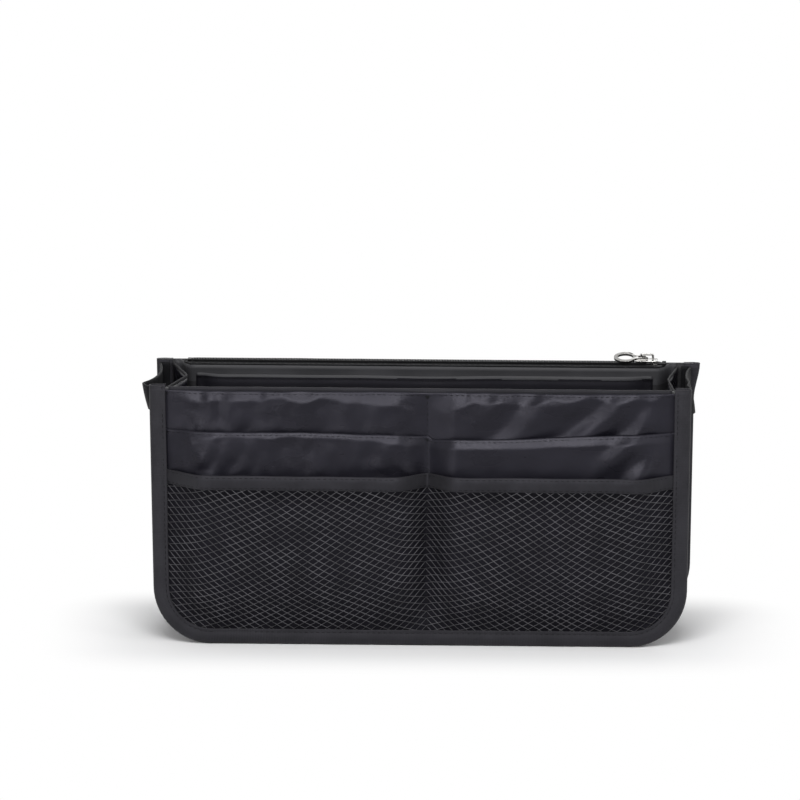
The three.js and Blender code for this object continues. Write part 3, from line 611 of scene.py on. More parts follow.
@functools.cache
def patch_group():
    """Soft patches of tone, as handling and light fading leave on cloth, with fine lint on them."""
    group, given, put = node_group("Tone patches", ("Patch", "Lint"), Size=30 * MM)
    scaled = add(group, "VectorMath", {0: given["Vector"], 1: given["Size"]}, operation="DIVIDE").outputs[0]
    for label, scale, detail, low, high in (("Patch", 1, 3, 0.35, 0.65), ("Lint", 46, 2, 0.4, 0.8)):
        texture = add(group, "TexNoise", {"Vector": scaled, "Scale": scale, "Detail": detail}).outputs[0]
        spread = add(group, "MapRange", {"Value": texture, "From Min": low, "From Max": high})
        group.links.new(spread.outputs[0], put[label])
    return group


def finish_of(name, **constants):
    """A material whose shader has the given plain values, and its tree and shader."""
    material = bpy.data.materials.new(name)
    material.use_nodes = True
    shader = material.node_tree.nodes["Principled BSDF"]
    for label, value in constants.items():
        shader.inputs[label.replace("_", " ")].default_value = value
    return material, material.node_tree, shader


def dress(tree, shader, shade, shades, tone, roughness, dull, height, strength, depth):
    """Links into a shader a tone between two shades, a roughness between two values and a relief."""
    dark, light = ((*[share * part for part in shade], 1) for share in shades)
    mix = add(tree, "Mix", {"A": dark, "B": light, "Factor": tone}, data_type="RGBA")
    spread = add(tree, "MapRange", {"To Min": roughness[0], "To Max": roughness[1], "Value": dull})
    bump = add(tree, "Bump", {"Strength": strength, "Distance": depth * MM, "Height": height})
    tree.links.new(mix.outputs["Result"], shader.inputs["Base Color"])
    tree.links.new(spread.outputs[0], shader.inputs["Roughness"])
    tree.links.new(bump.outputs[0], shader.inputs["Normal"])


def mixed(tree, fine, share, broad):
    """A tone that takes a share of a fine pattern into a broad one."""
    return calc(tree, "DIVIDE", calc(tree, "MULTIPLY_ADD", fine, share, broad), 1 + share)


def flat_patterns(tree, group, patch_size, **values):
    """A pattern of threads and the patches of tone on it, both over the cloth's flat map."""
    flat = add(tree, "UVMap", {}, uv_map="flat").outputs[0]
    threads = add(tree, "Group", {"Vector": flat}, node_tree=group)
    for label, value in values.items():
        threads.inputs[label].default_value = value
    patch = add(tree, "Group", {"Vector": flat, "Size": patch_size}, node_tree=patch_group())
    return threads.outputs, patch.outputs


def woven_cloth(name, shade, pitch, depth, roughness, gloss, gloss_tint):
    """Plain woven cloth with its threads and soft patches of tone."""
    material, tree, shader = finish_of(name, Specular_IOR_Level=gloss, Specular_Tint=gloss_tint)
    weave, patch = flat_patterns(tree, weave_group(), CLOTH_PATCH, Pitch=pitch * MM)
    tone = mixed(tree, weave["Tone"], 0.3, patch["Patch"])
    dulls = (roughness - 0.05, roughness + 0.07)
    dress(tree, shader, shade, (0.82, 1.3), tone, dulls, patch["Patch"], weave["Height"], 0.35, depth)
    return material


def ribbed_tape(name, shade, pitch, depth, chevron, roughness, gloss, gloss_tint, sheen, sheen_roughness):
    """Woven tape with ribs across it or a herringbone along it."""
    material, tree, shader = finish_of(
        name, Specular_IOR_Level=gloss, Specular_Tint=gloss_tint, Sheen_Weight=sheen,
        Sheen_Roughness=sheen_roughness)
    ribs, patch = flat_patterns(tree, rib_group(), TAPE_PATCH, Pitch=pitch * MM, Chevron=chevron)
    tone = mixed(tree, ribs["Tone"], 0.5, patch["Patch"])
    dulls = (roughness - 0.06, roughness + 0.08)
    dress(tree, shader, shade, (0.72, 1.3), tone, dulls, patch["Lint"], ribs["Height"], 0.5, depth)
    return material


def grained(name, shade, patch_size, lint, shades, dulls, dull_by, strength, depth, gloss, metal):
    """Yarn, moulded plastic or plated metal, with patches of tone and a fine grain."""
    material, tree, shader = finish_of(name, Specular_IOR_Level=gloss, Metallic=metal)
    own = add(tree, "TexCoord", {}).outputs["Object"]
    values = {"Vector": own, "Size": patch_size * MM}
    patch = add(tree, "Group", values, node_tree=patch_group()).outputs
    tone = mixed(tree, patch["Lint"], lint, patch["Patch"]) if lint else patch["Patch"]
    dress(tree, shader, shade, shades, tone, dulls, patch[dull_by], patch["Lint"], strength, depth)
    return material


@functools.cache
def finishes():
    """Every finish of the organizer, made once."""
    colours = bpy.context.scene.organizer_colours
    made = {look: woven_cloth(name, getattr(colours, look), *values) for look, name, *values in CLOTHS}
    for look, name, shade, *values in TAPES:
        made[look] = ribbed_tape(name, getattr(colours, shade), *values)
    for look, name, *values in GRAINS:
        made[look] = grained(name, getattr(colours, look), *values)
    return made


# Front wall

class FrontWall(bpy.types.Operator):
    """Make the front wall's lining, outer cloth and top tape."""

    bl_idname = "organizer.front_wall"
    bl_label = "Front wall"

    def execute(self, context):
        """Build the wall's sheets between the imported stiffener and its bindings."""
        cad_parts["front_stiffener"].material_slots[0].material = finishes()["board"]
        lining_middle, _ = layer_of("front_lining", CLOTH, FRONT)
        outer_middle, _ = layer_of("front_outer", CLOTH, FRONT)

        def lining_place(x, z):
            loose = rise(inside(x, z), 0, 20) * rise(z, 14, 20) * rise(HEIGHT - z, 8, 20)
            return (x, lining_middle + loose * (0.45 + 0.4 * waver(x, z, 34, 2.5)) * MM, z)

        bm = wall_grid("front_lining", lining_place, columns=70, spacing=(60, 5, 4))
        lining = sheet_piece("front_lining_cloth", bm, "lining", CLOTH, "front", "front_lining")
        bm = wall_grid("front_outer", lambda x, z: (x, outer_middle, z), columns=40, spacing=(60, 8, 8))
        outer = sheet_piece("front_outer_cloth", bm, "satin", CLOTH, "front", "front_outer")
        self.top_tape()
        return {"FINISHED"}

    def top_tape(self):
        """The tape folded over the wall's top edge, sewn through."""
        node = "front_top_binding"
        inner = far(node, 1) - TOP_TAPE / 2
        outer = near(node, 1) + TOP_TAPE / 2
        low = near(node, 2)
        reach = far(node, 0)
        radius = (inner - outer) / 2
        bend = far(node, 2) - TOP_TAPE / 2 - radius
        leaf = [low + (bend - low) * i / 4 for i in range(4)]
        turns = [math.pi * i / 8 for i in range(9)]
        section = [(outer, z) for z in leaf]
        section += [(outer + radius - radius * math.cos(t), bend + radius * math.sin(t)) for t in turns]
        section += [(inner, z) for z in reversed(leaf)]
        last = len(section) - 1

        def at(u, v):
            y, z = section[round(v * last)]
            x = (2 * u - 1) * reach
            ripple = 0.12 * MM * waver(x, z, 9, 8.5)
            return (x, y + (ripple if y > outer + radius else 0), z + ripple * smooth((z - low) / radius))

        bm = cloth_grid(at, (2 * reach, TOP_TAPE_WIDTH), columns=180, rows=last)
        tape = sheet_piece("front_top_tape", bm, "tape", TOP_TAPE, "front", node)
        line = [Vector((x, inner + TOP_TAPE / 2, low + TOP_TAPE_SEAM)) for x in (-reach, reach)]
        stitches("front_top_stitches", "front", [(line, Vector((0, 1, 0)))])


# Slip pockets

def drag_folds(x, z, start):
    """Broad slanting folds that pull up towards the right end of the front pockets."""
    slant = (x * 0.64 - z * 0.77) / (21 * MM)
    ridge = math.sin(2 * math.pi * slant + 2.4 * waver(x, z, 34, 6.5))
    return rise(x, start, 30) * fall(x, 136, 14) * (0.9 * ridge + 0.5 * waver(x, z, 11, 8.5))


def upright_folds(x, z, seed):
    """Soft upright folds, stronger towards the left end and near the middle seam."""
    strength = 0.55 + 1.1 * hump(x, -118, 26) + 0.5 * hump(x, -14, 26)
    strength *= 1 - 0.75 * rise(x, 10, 14)
    return strength * (waver(x, z * 0.55, 14, seed) + 0.55 * waver(x, z * 0.8, 7, seed + 4))


def pucker(x, seed):
    """The uneven gathering along a pocket's top hem."""
    return waver(x, 0, 9, seed) + 0.6 * waver(x, 0, 4.6, seed + 7)


def upper_hem(x):
    """How far down the upper pocket's rolled top reaches: further near the middle seam."""
    near_seam = 3.6 * MM * hump(x - DIVIDER, 0, 34) - 2 * MM * rise(x, 60, 30)
    ripple = waver(x, 0, 15, 1.5) + 0.5 * waver(x, 0, 7, 2.5)
    return max(2.2 * MM, sizes().hem_roll + near_seam + 2.6 * MM * ripple)


def middle_hem(x):
    """How far down the middle pocket's rolled top reaches."""
    right = rise(x - DIVIDER, 0, 6)
    near_seam = 2.2 * MM * hump(x - DIVIDER, 0, 32)
    ripple = (1.5 - 1.1 * right) * MM * waver(x, 0, 15, 3.5)
    return max(2 * MM, sizes().hem_roll * (0.62 + 0.36 * right) + near_seam * (1 - right) + ripple)


def middle_sag(x):
    """How far the middle pocket's top edge hangs down: its right half dips beside the middle seam."""
    right = rise(x - DIVIDER, 0, 3)
    return 1.4 * MM * rise(x, -70, 70) * (1 - right) + 3.6 * MM * hump(x, 24, 62) * right


def seam_dip(x, swell):
    """How far a pocket's top edge is drawn down where the middle seam holds it back."""
    return 0.2 * abs(swell) * (1 - beside_seam(x, DIVIDER))


class SlipPockets(bpy.types.Operator):
    """Make the upper and the middle row of slip pockets."""

    bl_idname = "organizer.slip_pockets"
    bl_label = "Slip pockets"

    def execute(self, context):
        """Build both rows from one sheet each, sewn down along the middle seam."""
        upper = self.row("upper_pocket", 108, upper_hem, lambda x: 0.0, 11.5, 22)
        middle = self.row("middle_pocket", 82, middle_hem, middle_sag, 15.5, 88)
        # Painted shade: the cloth below the band, seen through the nets, takes the darker matt finish
        partly(middle, "backing", lambda place: place.z < BAND_FOOT + 3 * MM)
        return {"FINISHED"}

    def row(self, node, free_from, hem_at, sag_at, seed, drag_from):
        """One row of pockets, its top rolled back and puckered, and its seams. Below the height free_from, in
        millimetres, the cloth lies smooth, and right of drag_from it is dragged into slanting folds."""
        size = sizes()
        top = far(node, 2)
        base, swell = layer_of(node, CLOTH, FRONT)

        def place(x, z):
            reach = hem_at(x)
            up = clamp(1 - (top - z) / reach)
            free = rise(z, free_from, 12)
            hem = crown(z, top, HEM_HEIGHT)
            folds = upright_folds(x, z, seed) + drag_folds(x, z, drag_from)
            depth = min(reach * size.hem_lean / size.hem_roll, MOST_HEM_LEAN) * (0.8 * up + 0.2 * smooth(up))
            depth -= size.fold_height * free * (1 - 0.6 * hem) * folds
            depth -= 0.3 * MM * hem * pucker(x, top)
            sag = sag_at(x) + seam_dip(x, swell) + 0.25 * MM * waver(x, 0, 16, 21.5)
            drop = sag * rise(inside(x, z), 0, 14) * free
            return Vector((x, base + (swell + depth) * pocket_share(x, z), z - drop))

        bm = wall_grid(node, place, columns=270, spacing=(free_from, 6, 0.9))
        cloth = sheet_piece(node + "_cloth", bm, "satin", CLOTH, "front", node)
        seam = ((free_from + 13) * MM, top - 0.6 * MM)
        sew_pocket(node, "front", place, FRONT, DIVIDER, seam, True)
        return cloth


# Net pockets

def band_drop(x, swell):
    """How far the band and the net below it are drawn down at the middle seam and towards the right end."""
    return 0.3 * seam_dip(x, swell) + 0.8 * MM * rise(x, 100, 38) + 0.4 * MM * waver(x, 0, 30, 55.5)


class NetPockets(bpy.types.Operator):
    """Make both nets and the band along their top."""

    bl_idname = "organizer.net_pockets"
    bl_label = "Net pockets"

    def execute(self, context):
        """Build the band that edges the nets, then the strands of each net."""
        band = self.band()
        for side in (LEFT, RIGHT):
            net = self.net(side)
        return {"FINISHED"}

    def lattice(self, side, node):
        """The net before it is put in place: squares stood on a corner, pulled a little out of true."""
        size = sizes()
        bm = bmesh.new()
        bmesh.ops.create_grid(bm, x_segments=NET_CELLS, y_segments=NET_CELLS, size=NET_CELLS / 2)
        columns = round((far(node, 0) - near(node, 0)) / 2 / size.net_cell_width)
        middle = Vector((DIVIDER + side * columns * size.net_cell_width, middle_of(node, 2), 0))
        turn = Matrix(((0.5, -0.5, 0), (0.5, 0.5, 0), (0, 0, 1)))
        cell = Matrix.Diagonal((size.net_cell_width, size.net_cell_height, 1))
        bmesh.ops.transform(bm, matrix=Matrix.Translation(middle) @ (cell @ turn).to_4x4(), verts=bm.verts)
        other = [f for f in bm.faces if side * (f.calc_center_median().x - DIVIDER) < 0.1 * MM]
        bmesh.ops.delete(bm, geom=other, context="FACES")
        for vert in bm.verts:
            x, z = vert.co.x, vert.co.y
            aside = abs(x - DIVIDER) / (70 * MM) - 1
            pull = 1.5 * MM * waver(x, z, 42, 41.5)
            lift = 1.3 * MM * waver(x, z, 36, 45.5) + 15 * MM * aside * aside - 5 * MM
            vert.co = (x + pull, 0, z + lift)
        return bm

    def net(self, side):
        """One net, cut to its pocket, laid on its round front and knitted from round strands."""
        node = "mesh_net_" + SIDE_NAMES[side]
        strand = sizes().net_strand
        bm = self.lattice(side, node)
        cuts = [((0, 0, near(node, 2) + 2 * MM), -UP), ((0, 0, BAND_FOOT + 4 * MM), UP)]
        corner = Vector((side * (HALF_WIDTH - CORNER) * taper(0), 0, CORNER))
        for i in range(NET_CORNER_CUTS + 1):
            turn = math.pi / 2 * i / NET_CORNER_CUTS
            way = Vector((side * math.cos(turn), 0, -math.sin(turn)))
            cuts.append((corner + way * (CORNER - NET_INSET), way))
        for place, way in cuts:
            everything = bm.verts[:] + bm.edges[:] + bm.faces[:]
            bmesh.ops.bisect_plane(bm, geom=everything, plane_co=place, plane_no=way, clear_outer=True)
        bmesh.ops.remove_doubles(bm, verts=bm.verts, dist=NET_MERGE)
        base, swell = layer_of(node, strand, FRONT)
        for vert in bm.verts:
            x, _, z = vert.co
            loose = 0.8 + 0.8 * waver(x, z, 24, 31.5) + 0.3 * waver(x, z, 11, 33.5)
            slack = loose * fall(z - BAND_FOOT, -2, 10) * MM
            depth = base + (swell - slack) * pocket_share(x, z)
            vert.co = (x, depth, z - band_drop(x, swell) * rise(z, 45, 40))
        net = piece("net_" + SIDE_NAMES[side], bm, "net")
        strands = net.modifiers.new("Strands", "WIREFRAME")
        strands.thickness = strand
        strands.use_even_offset = False
        strands.use_boundary = True
        return worn_by(net, "front", node)

    def band(self):
        """The stretched band along the nets' top, sewn along both of its edges."""
        node = "mesh_band"
        low, high = near(node, 2), far(node, 2)
        base, swell = layer_of(node, CLOTH, FRONT)

        def place(x, z):
            up = (z - low) / (high - low)
            puff = 0.4 * MM * math.sin(math.pi * up)
            gather = 0.28 * MM * (waver(x, z, 5, 51.5) + 0.8 * waver(x, 0, 13, 53.5))
            lean = 0.5 * MM * smooth((up - 0.7) / 0.3)
            depth = base - puff + (swell - gather + lean) * pocket_share(x, z)
            return Vector((x, depth, z - band_drop(x, swell)))

        def at(u, v):
            z = low + (high - low) * v
            return place((2 * u - 1) * half_width(z, SHEET_INSET), z)

        bm = cloth_grid(at, (2 * HALF_WIDTH, high - low), columns=320, rows=12)
        band = sheet_piece("net_band_tape", bm, "band", CLOTH, "front", node)
        columns = span(half_width(low, BINDING_WIDTH), SEAM_STEPS)
        seams = [seam_on(place, FRONT, columns, [z]) for z in (low + 1.1 * MM, high - 1.3 * MM)]
        seams.append(seam_on(place, FRONT, [DIVIDER], (low + 0.4 * MM, high - 0.4 * MM)))
        strand = sizes().net_strand
        net_face = layer_of("mesh_net_left", strand, FRONT)[0] - strand / 2
        net_seam = [Vector((DIVIDER, net_face, z)) for z in (BINDING_WIDTH, low)]
        stitches("net_band_stitches", "front", [*seams, (net_seam, Vector((0, FRONT, 0)))])
        return band


# Bindings

def rim_stations(top, foot_steps=RIM_FOOT_STEPS):
    """Places down a wall's right edge, round its corner and to the middle of its foot, with the way in."""
    straight = HALF_WIDTH - CORNER
    stations = []
    for i in range(RIM_SIDE_STEPS):
        stations.append((HALF_WIDTH, top - (top - CORNER) * i / RIM_SIDE_STEPS, -1, 0))
    for i in range(RIM_CORNER_STEPS):
        turn = math.pi / 2 * i / RIM_CORNER_STEPS
        x = straight + CORNER * math.cos(turn)
        stations.append((x, CORNER - CORNER * math.sin(turn), -math.cos(turn), math.sin(turn)))
    for i in range(foot_steps + 1):
        stations.append((straight * (1 - i / foot_steps), 0, 0, 1))
    return stations


def rim_point(station, inset, depth):
    """A point that lies inset inside a wall's edge."""
    x, z, inward, up = station
    height = z + up * inset
    return Vector(((x + inward * inset) * taper(height), depth, height))


def binding_section(inner, outer):
    """The tape's section as (inset, depth): its inner leaf, the bend round the edge and its outer leaf."""
    radius = abs(outer - inner) / 2
    out = 1 if outer > inner else -1
    edge = BINDING_LEAF / 2
    leaf = BINDING_WIDTH - radius - edge
    section = [(BINDING_WIDTH - leaf * i / 5, inner) for i in range(5)]
    for i in range(11):
        turn = math.pi * i / 10 - math.pi / 2
        depth = (inner + outer) / 2 + out * radius * math.sin(turn)
        section.append((edge + radius - radius * math.cos(turn), depth))
    for i in range(1, 11):
        inset = radius + edge + leaf * i / 10
        puff = 0.35 * MM * math.sin(math.pi * clamp((inset - radius) / (BINDING_SEAM - radius)))
        lip = 0.2 * MM * smooth((inset - BINDING_SEAM) / (BINDING_WIDTH - BINDING_SEAM))
        section.append((inset, outer + out * (puff + lip)))
    return section


class EdgeBindings(bpy.types.Operator):
    """Make the ribbed tape that binds the edges of both walls."""

    bl_idname = "organizer.edge_bindings"
    bl_label = "Edge bindings"

    def execute(self, context):
        """Fold one tape round each wall's edge and sew it down."""
        for node, body, side in (("front_binding", "front", FRONT), ("rear_binding", "shell", REAR)):
            inner, outer = (far(node, 1), near(node, 1))[::-side]
            leaf = BINDING_LEAF / 2 * side
            self.binding(node, body, side, inner + leaf, outer - leaf)
        return {"FINISHED"}

    def binding(self, node, body, side, inner, outer):
        """One wall's binding, with a row of stitches on each of its faces."""
        right = rim_stations(HEIGHT)
        left = [(-x, z, -inward, up) for x, z, inward, up in right]
        stations = left + right[-2::-1]
        section = binding_section(inner, outer)
        columns, last = len(stations) - 1, len(section) - 1

        def flare(station):
            """The rear tape's right end stands a little away from its wall."""
            return FLARE * rise(station[1], 126, 20) if side == REAR and station[0] > 0 else 0.0

        def at(u, v):
            station = stations[round(u * columns)]
            x, z = station[:2]
            inset, depth = section[round(v * last)]
            on_leaf = rise(inset, 2, 3) * (abs(depth - inner) > BINDING_LEAF)
            wander = 0.28 * MM * waver(x, z, 14, 61.5 + side)
            swing = 0.25 * MM * waver(x, z, 24, 64.5 + side)
            inset += swing * on_leaf - flare(station)
            return rim_point(station, inset, depth + side * abs(wander) * on_leaf)

        rim = line_length([rim_point(station, 0, 0) for station in stations])
        flat = (rim, line_length([Vector(point) for point in section]))
        bm = cloth_grid(at, flat, columns, last)
        tape = sheet_piece(node + "_tape", bm, "tape", BINDING_LEAF, body, node)
        leaf = side * BINDING_LEAF / 2
        rows = []
        for depth, faces in ((outer + leaf + side * 0.05 * MM, side), (inner - leaf, -side)):
            seam = [rim_point(s, BINDING_SEAM - flare(s), depth) for s in stations]
            rows.append((seam, Vector((0, faces, 0))))
        stitches(node + "_stitches", body, rows)


# Rear wall

class RearWall(bpy.types.Operator):
    """Make the rear wall's lining, outer cloth and pocket."""

    bl_idname = "organizer.rear_wall"
    bl_label = "Rear wall"

    def execute(self, context):
        """Build the wall's sheets, whose outer cloth puffs a little above the pocket, and its wide pocket."""
        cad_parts["rear_stiffener"].material_slots[0].material = finishes()["board"]
        for node, look, puff in (("rear_lining", "lining", 0), ("rear_outer", "satin", 0.35 * MM)):
            middle, _ = layer_of(node, CLOTH, REAR)

            def place(x, z):
                free = rise(z, 114, 8) * rise(inside(x, z), 0, 14) * rise(HEIGHT - z, 0, 8)
                return (x, middle + puff * free * (1 + waver(x, z, 22, 71.5)), z)

            bm = wall_grid(node, place, columns=70, spacing=(100, 6, 4))
            cloth = sheet_piece(node + "_cloth", bm, look, CLOTH, "shell", node)
        self.pocket()
        return {"FINISHED"}

    def pocket(self):
        """The wide rear pocket, sewn down along its middle."""
        size = sizes()
        node = "rear_pocket"
        top = far(node, 2)
        base, swell = layer_of(node, CLOTH, REAR)

        def place(x, z):
            share = pocket_share(x, z, REAR_DIVIDER)
            roll = crown(z, top, size.hem_roll + 1.5 * MM * waver(x, 0, 17, 73.5))
            hem = crown(z, top, HEM_HEIGHT)
            folds = upright_folds(-abs(x), z, 75.5 if x < 0 else 81.5) * (0.35 + 0.65 * rise(z, 60, 30))
            depth = swell - size.hem_lean * roll + size.fold_height * (1 - 0.6 * hem) * folds
            depth += 0.3 * MM * hem * pucker(x, 77.5)
            return Vector((x, base + depth * share, z - 0.3 * MM * share * waver(x, 0, 16, 79.5)))

        bm = wall_grid(node, place, columns=200, spacing=(40, 4, 1.6))
        cloth = sheet_piece("rear_pocket_cloth", bm, "satin", CLOTH, "shell", node)
        seam = [BINDING_WIDTH + (top - BINDING_WIDTH) * i / 40 for i in range(41)]
        sew_pocket(node, "shell", place, REAR, REAR_DIVIDER, seam, False)


# Zip pouch

class ZipPouch(bpy.types.Operator):
    """Make the zip pouch's wall and the slip pocket on it."""

    bl_idname = "organizer.zip_pouch"
    bl_label = "Zip pouch"

    def execute(self, context):
        """Build the pouch's inner wall and its pocket."""
        self.wall()
        self.pocket()
        return {"FINISHED"}

    def wall(self):
        """The pouch's wall, sewn to the rear lining along its sides and foot."""
        node = "pouch_wall"
        base, swell = layer_of(node, POUCH_CLOTH, FRONT)

        def place(x, z):
            share = filled((POUCH_REACH - abs(x)) / POUCH_SIDE) * filled((z - POUCH_FLOOR) / POUCH_RISE)
            calm = rise(HEIGHT - z, 9, 20) * fall(abs(x), 133, 8)
            round_pocket = clamp(rise(abs(x), 123, 6) + fall(z, 46, 8))
            ripple = 0.5 * MM * calm * round_pocket * waver(x, z, 20, 81.5)
            rim = 0.9 * MM * crown(z, HEIGHT, 4.5 * MM)
            return Vector((x, base + swell * share + abs(ripple) - rim * share, z))

        bm = wall_grid(node, place, columns=160, spacing=(60, 5, 2.4), inset=near(node, 2))
        cloth = sheet_piece("pouch_wall_cloth", bm, "lining", POUCH_CLOTH, "shell", node)
        # Painted light: the wall's top band takes a lighter cloth where light falls on it from above
        painted_light_foot = far("inner_pocket", 2) - 4 * MM
        partly(cloth, "facing", lambda place: place.z > painted_light_foot)

    def pocket(self):
        """The slip pocket on the pouch's wall, with a turned hem along its top."""
        node = "inner_pocket"
        low, high = near(node, 2), far(node, 2)
        reach = far(node, 0)
        base, swell = layer_of(node, CLOTH, FRONT)

        def place(x, z):
            side = filled((reach - 4 * MM - abs(x)) / INNER_SLOPE)
            share = side * filled((z - low - 4 * MM) / INNER_SLOPE)
            roll = crown(z, high, 5 * MM)
            folds = 0.5 * MM * waver(x, z * 0.4, 18, 85.5) * (1 - roll)
            bead = 0.55 * MM * hump(z - high, -1.1, 1.1)
            dip = 0.9 * MM * share * waver(x, 0, 46, 87.5)
            depth = base + (swell + 1.4 * MM * roll + folds) * share - bead
            return Vector((x, depth, z - dip * rise(z - low, 0, 60)))

        def at(u, v):
            return place((2 * u - 1) * reach, low + (high - low) * (1 - (1 - v) ** 1.6))

        bm = cloth_grid(at, (2 * reach, high - low), columns=170, rows=70)
        # The pocket's darker cloth is painted shade of the pouch's inside
        cloth = sheet_piece("inner_pocket_cloth", bm, "inner", CLOTH, "shell", node)
        # Painted highlight: the pocket's hem edge takes the lighter cloth as a lit line
        partly(cloth, "facing", lambda place: place.z > high - INNER_HEM_PAINTED_LIGHT)
        rim = reach - INNER_SEAM
        down = [high - 1 * MM - (high - low - 1 * MM - INNER_SEAM) * i / 40 for i in range(41)]
        along = span(rim, 120)
        seams = [seam_on(place, FRONT, along, [z]) for z in (high - 2.4 * MM, low + INNER_SEAM)]
        seams += [seam_on(place, FRONT, [edge], down) for edge in (-rim, rim)]
        stitches("inner_pocket_stitches", "shell", seams)


# Gussets and base

def fold_share(across):
    """Share of the gusset's inward fold, from its front seam at -1 to its rear seam at 1."""
    return 1 - math.hypot(across, FOLD_ROUND)


def fold_at(side, z):
    """How far a side's gusset folds in at a height."""
    return FOLD_DEPTHS[side] * max(0.0, (z - FOLD_START) / (HEIGHT - FOLD_START))


def across_mouth(made, node):
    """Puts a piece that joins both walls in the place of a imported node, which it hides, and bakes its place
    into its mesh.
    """
    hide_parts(node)
    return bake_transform(made)


class Gussets(bpy.types.Operator):
    """Make the folding sides with their hems, and the base."""

    bl_idname = "organizer.gussets"
    bl_label = "Gussets and base"

    def execute(self, context):
        """Build each side's folded cloth and hem, then the strip and board of the base."""
        for side in (LEFT, RIGHT):
            self.gusset(side)
        self.base()
        return {"FINISHED"}

    def gusset(self, side):
        """One folded side, from the foot of the corner to its top, with its hem."""
        node = "gusset_" + SIDE_NAMES[side]
        stations = rim_stations(far(node, 2), 1)[-2::-1]
        last = len(stations) - 1
        middle = middle_of(node, 1)
        depth = far(node, 1) - near(node, 1)

        def at(u, v):
            across = 2 * u - 1
            point = rim_point(stations[round(v * last)], GUSSET_INSET, 0)
            slack = (1 - across * across) * rise(point.z, 12, 30)
            waves = waver(across * 30 * MM, point.z, 16, 91.5 + side)
            waves += 0.45 * waver(across * 30 * MM, point.z, 7, 93.5 + side)
            inward = fold_at(side, point.z) * fold_share(across) + 0.9 * MM * slack * waves
            return Vector((side * (point.x - inward), middle + across * depth / 2, point.z))

        bm = cloth_grid(at, (depth, GUSSET_LENGTH), GUSSET_STEPS, last)
        cloth = across_mouth(piece(node + "_cloth", made_thick(bm, GUSSET_CLOTH), "satin"), node)
        hem = self.hem(side)

    def hem(self, side):
        """The narrow tape folded over a gusset's top edge."""
        node = "gusset_hem_" + SIDE_NAMES[side]
        turns = [2 * math.pi * i / GUSSET_HEM_SIDES for i in range(GUSSET_HEM_SIDES)]
        section = [(GUSSET_HEM_HALF * math.sin(turn), -math.cos(turn)) for turn in turns]
        bm = bmesh.new()
        ring = [bm.verts.new((0, 0, 0)) for _ in section]
        flat_map = bm.loops.layers.uv.new("flat")
        edges = [bm.edges.new((a, b)) for a, b in zip(ring, ring[1:] + ring[:1])]
        rings = [ring]
        for _ in range(GUSSET_STEPS):
            grown = bmesh.ops.extrude_edge_only(bm, edges=edges)["geom"]
            edges = [e for e in grown if isinstance(e, bmesh.types.BMEdge) and e.is_boundary]
            rings.append([v for v in grown if isinstance(v, bmesh.types.BMVert)])
        middle_y, middle_z = middle_of(node, 1), middle_of(node, 2)
        height = far(node, 2) - near(node, 2)
        depth = far(node, 1) - near(node, 1)
        width = (HALF_WIDTH - GUSSET_INSET) * taper(middle_z)
        for i, loop in enumerate(rings):
            across = 2 * i / GUSSET_STEPS - 1
            x = width - fold_at(side, middle_z) * fold_share(across)
            x += 0.15 * MM * waver(across * 30 * MM, 0, 9, 95.5 + side)
            y = middle_y + across * depth / 2
            for vert, (aside, up) in zip(loop, section):
                vert.co = (side * (x + aside), y, middle_z + height / 2 * up)
        bmesh.ops.holes_fill(bm, edges=[e for e in bm.edges if e.is_boundary], sides=0)
        bmesh.ops.recalc_face_normals(bm, faces=bm.faces[:])
        for face in bm.faces:
            for corner in face.loops:
                corner[flat_map].uv = (corner.vert.co.y, corner.vert.co.z)
        return across_mouth(piece(node + "_tape", bm, "hem"), node)

    def base(self):
        """The cloth strip under the base, and the board that lies on it."""
        node = "base_strip"
        middle = middle_of(node, 2)
        reach, front, rear = far(node, 0) + BASE_TUCK, near(node, 1), far(node, 1)

        def at(u, v):
            x = (2 * u - 1) * reach
            y = front + (rear - front) * v
            calm = math.sin(math.pi * u) * math.sin(math.pi * v)
            return (x, y, middle - 0.5 * MM * calm * abs(waver(x, y, 24, 97.5)))

        bm = cloth_grid(at, (2 * reach, rear - front), columns=90, rows=28)
        strip = sheet_piece("base_strip_cloth", bm, "satin", GUSSET_CLOTH, "shell", node)
        board = piece("base_board_cover", softened("base_board", BOARD_ROUND, 3), "board")
        worn_by(board, "shell", "base_board")


# Zipper

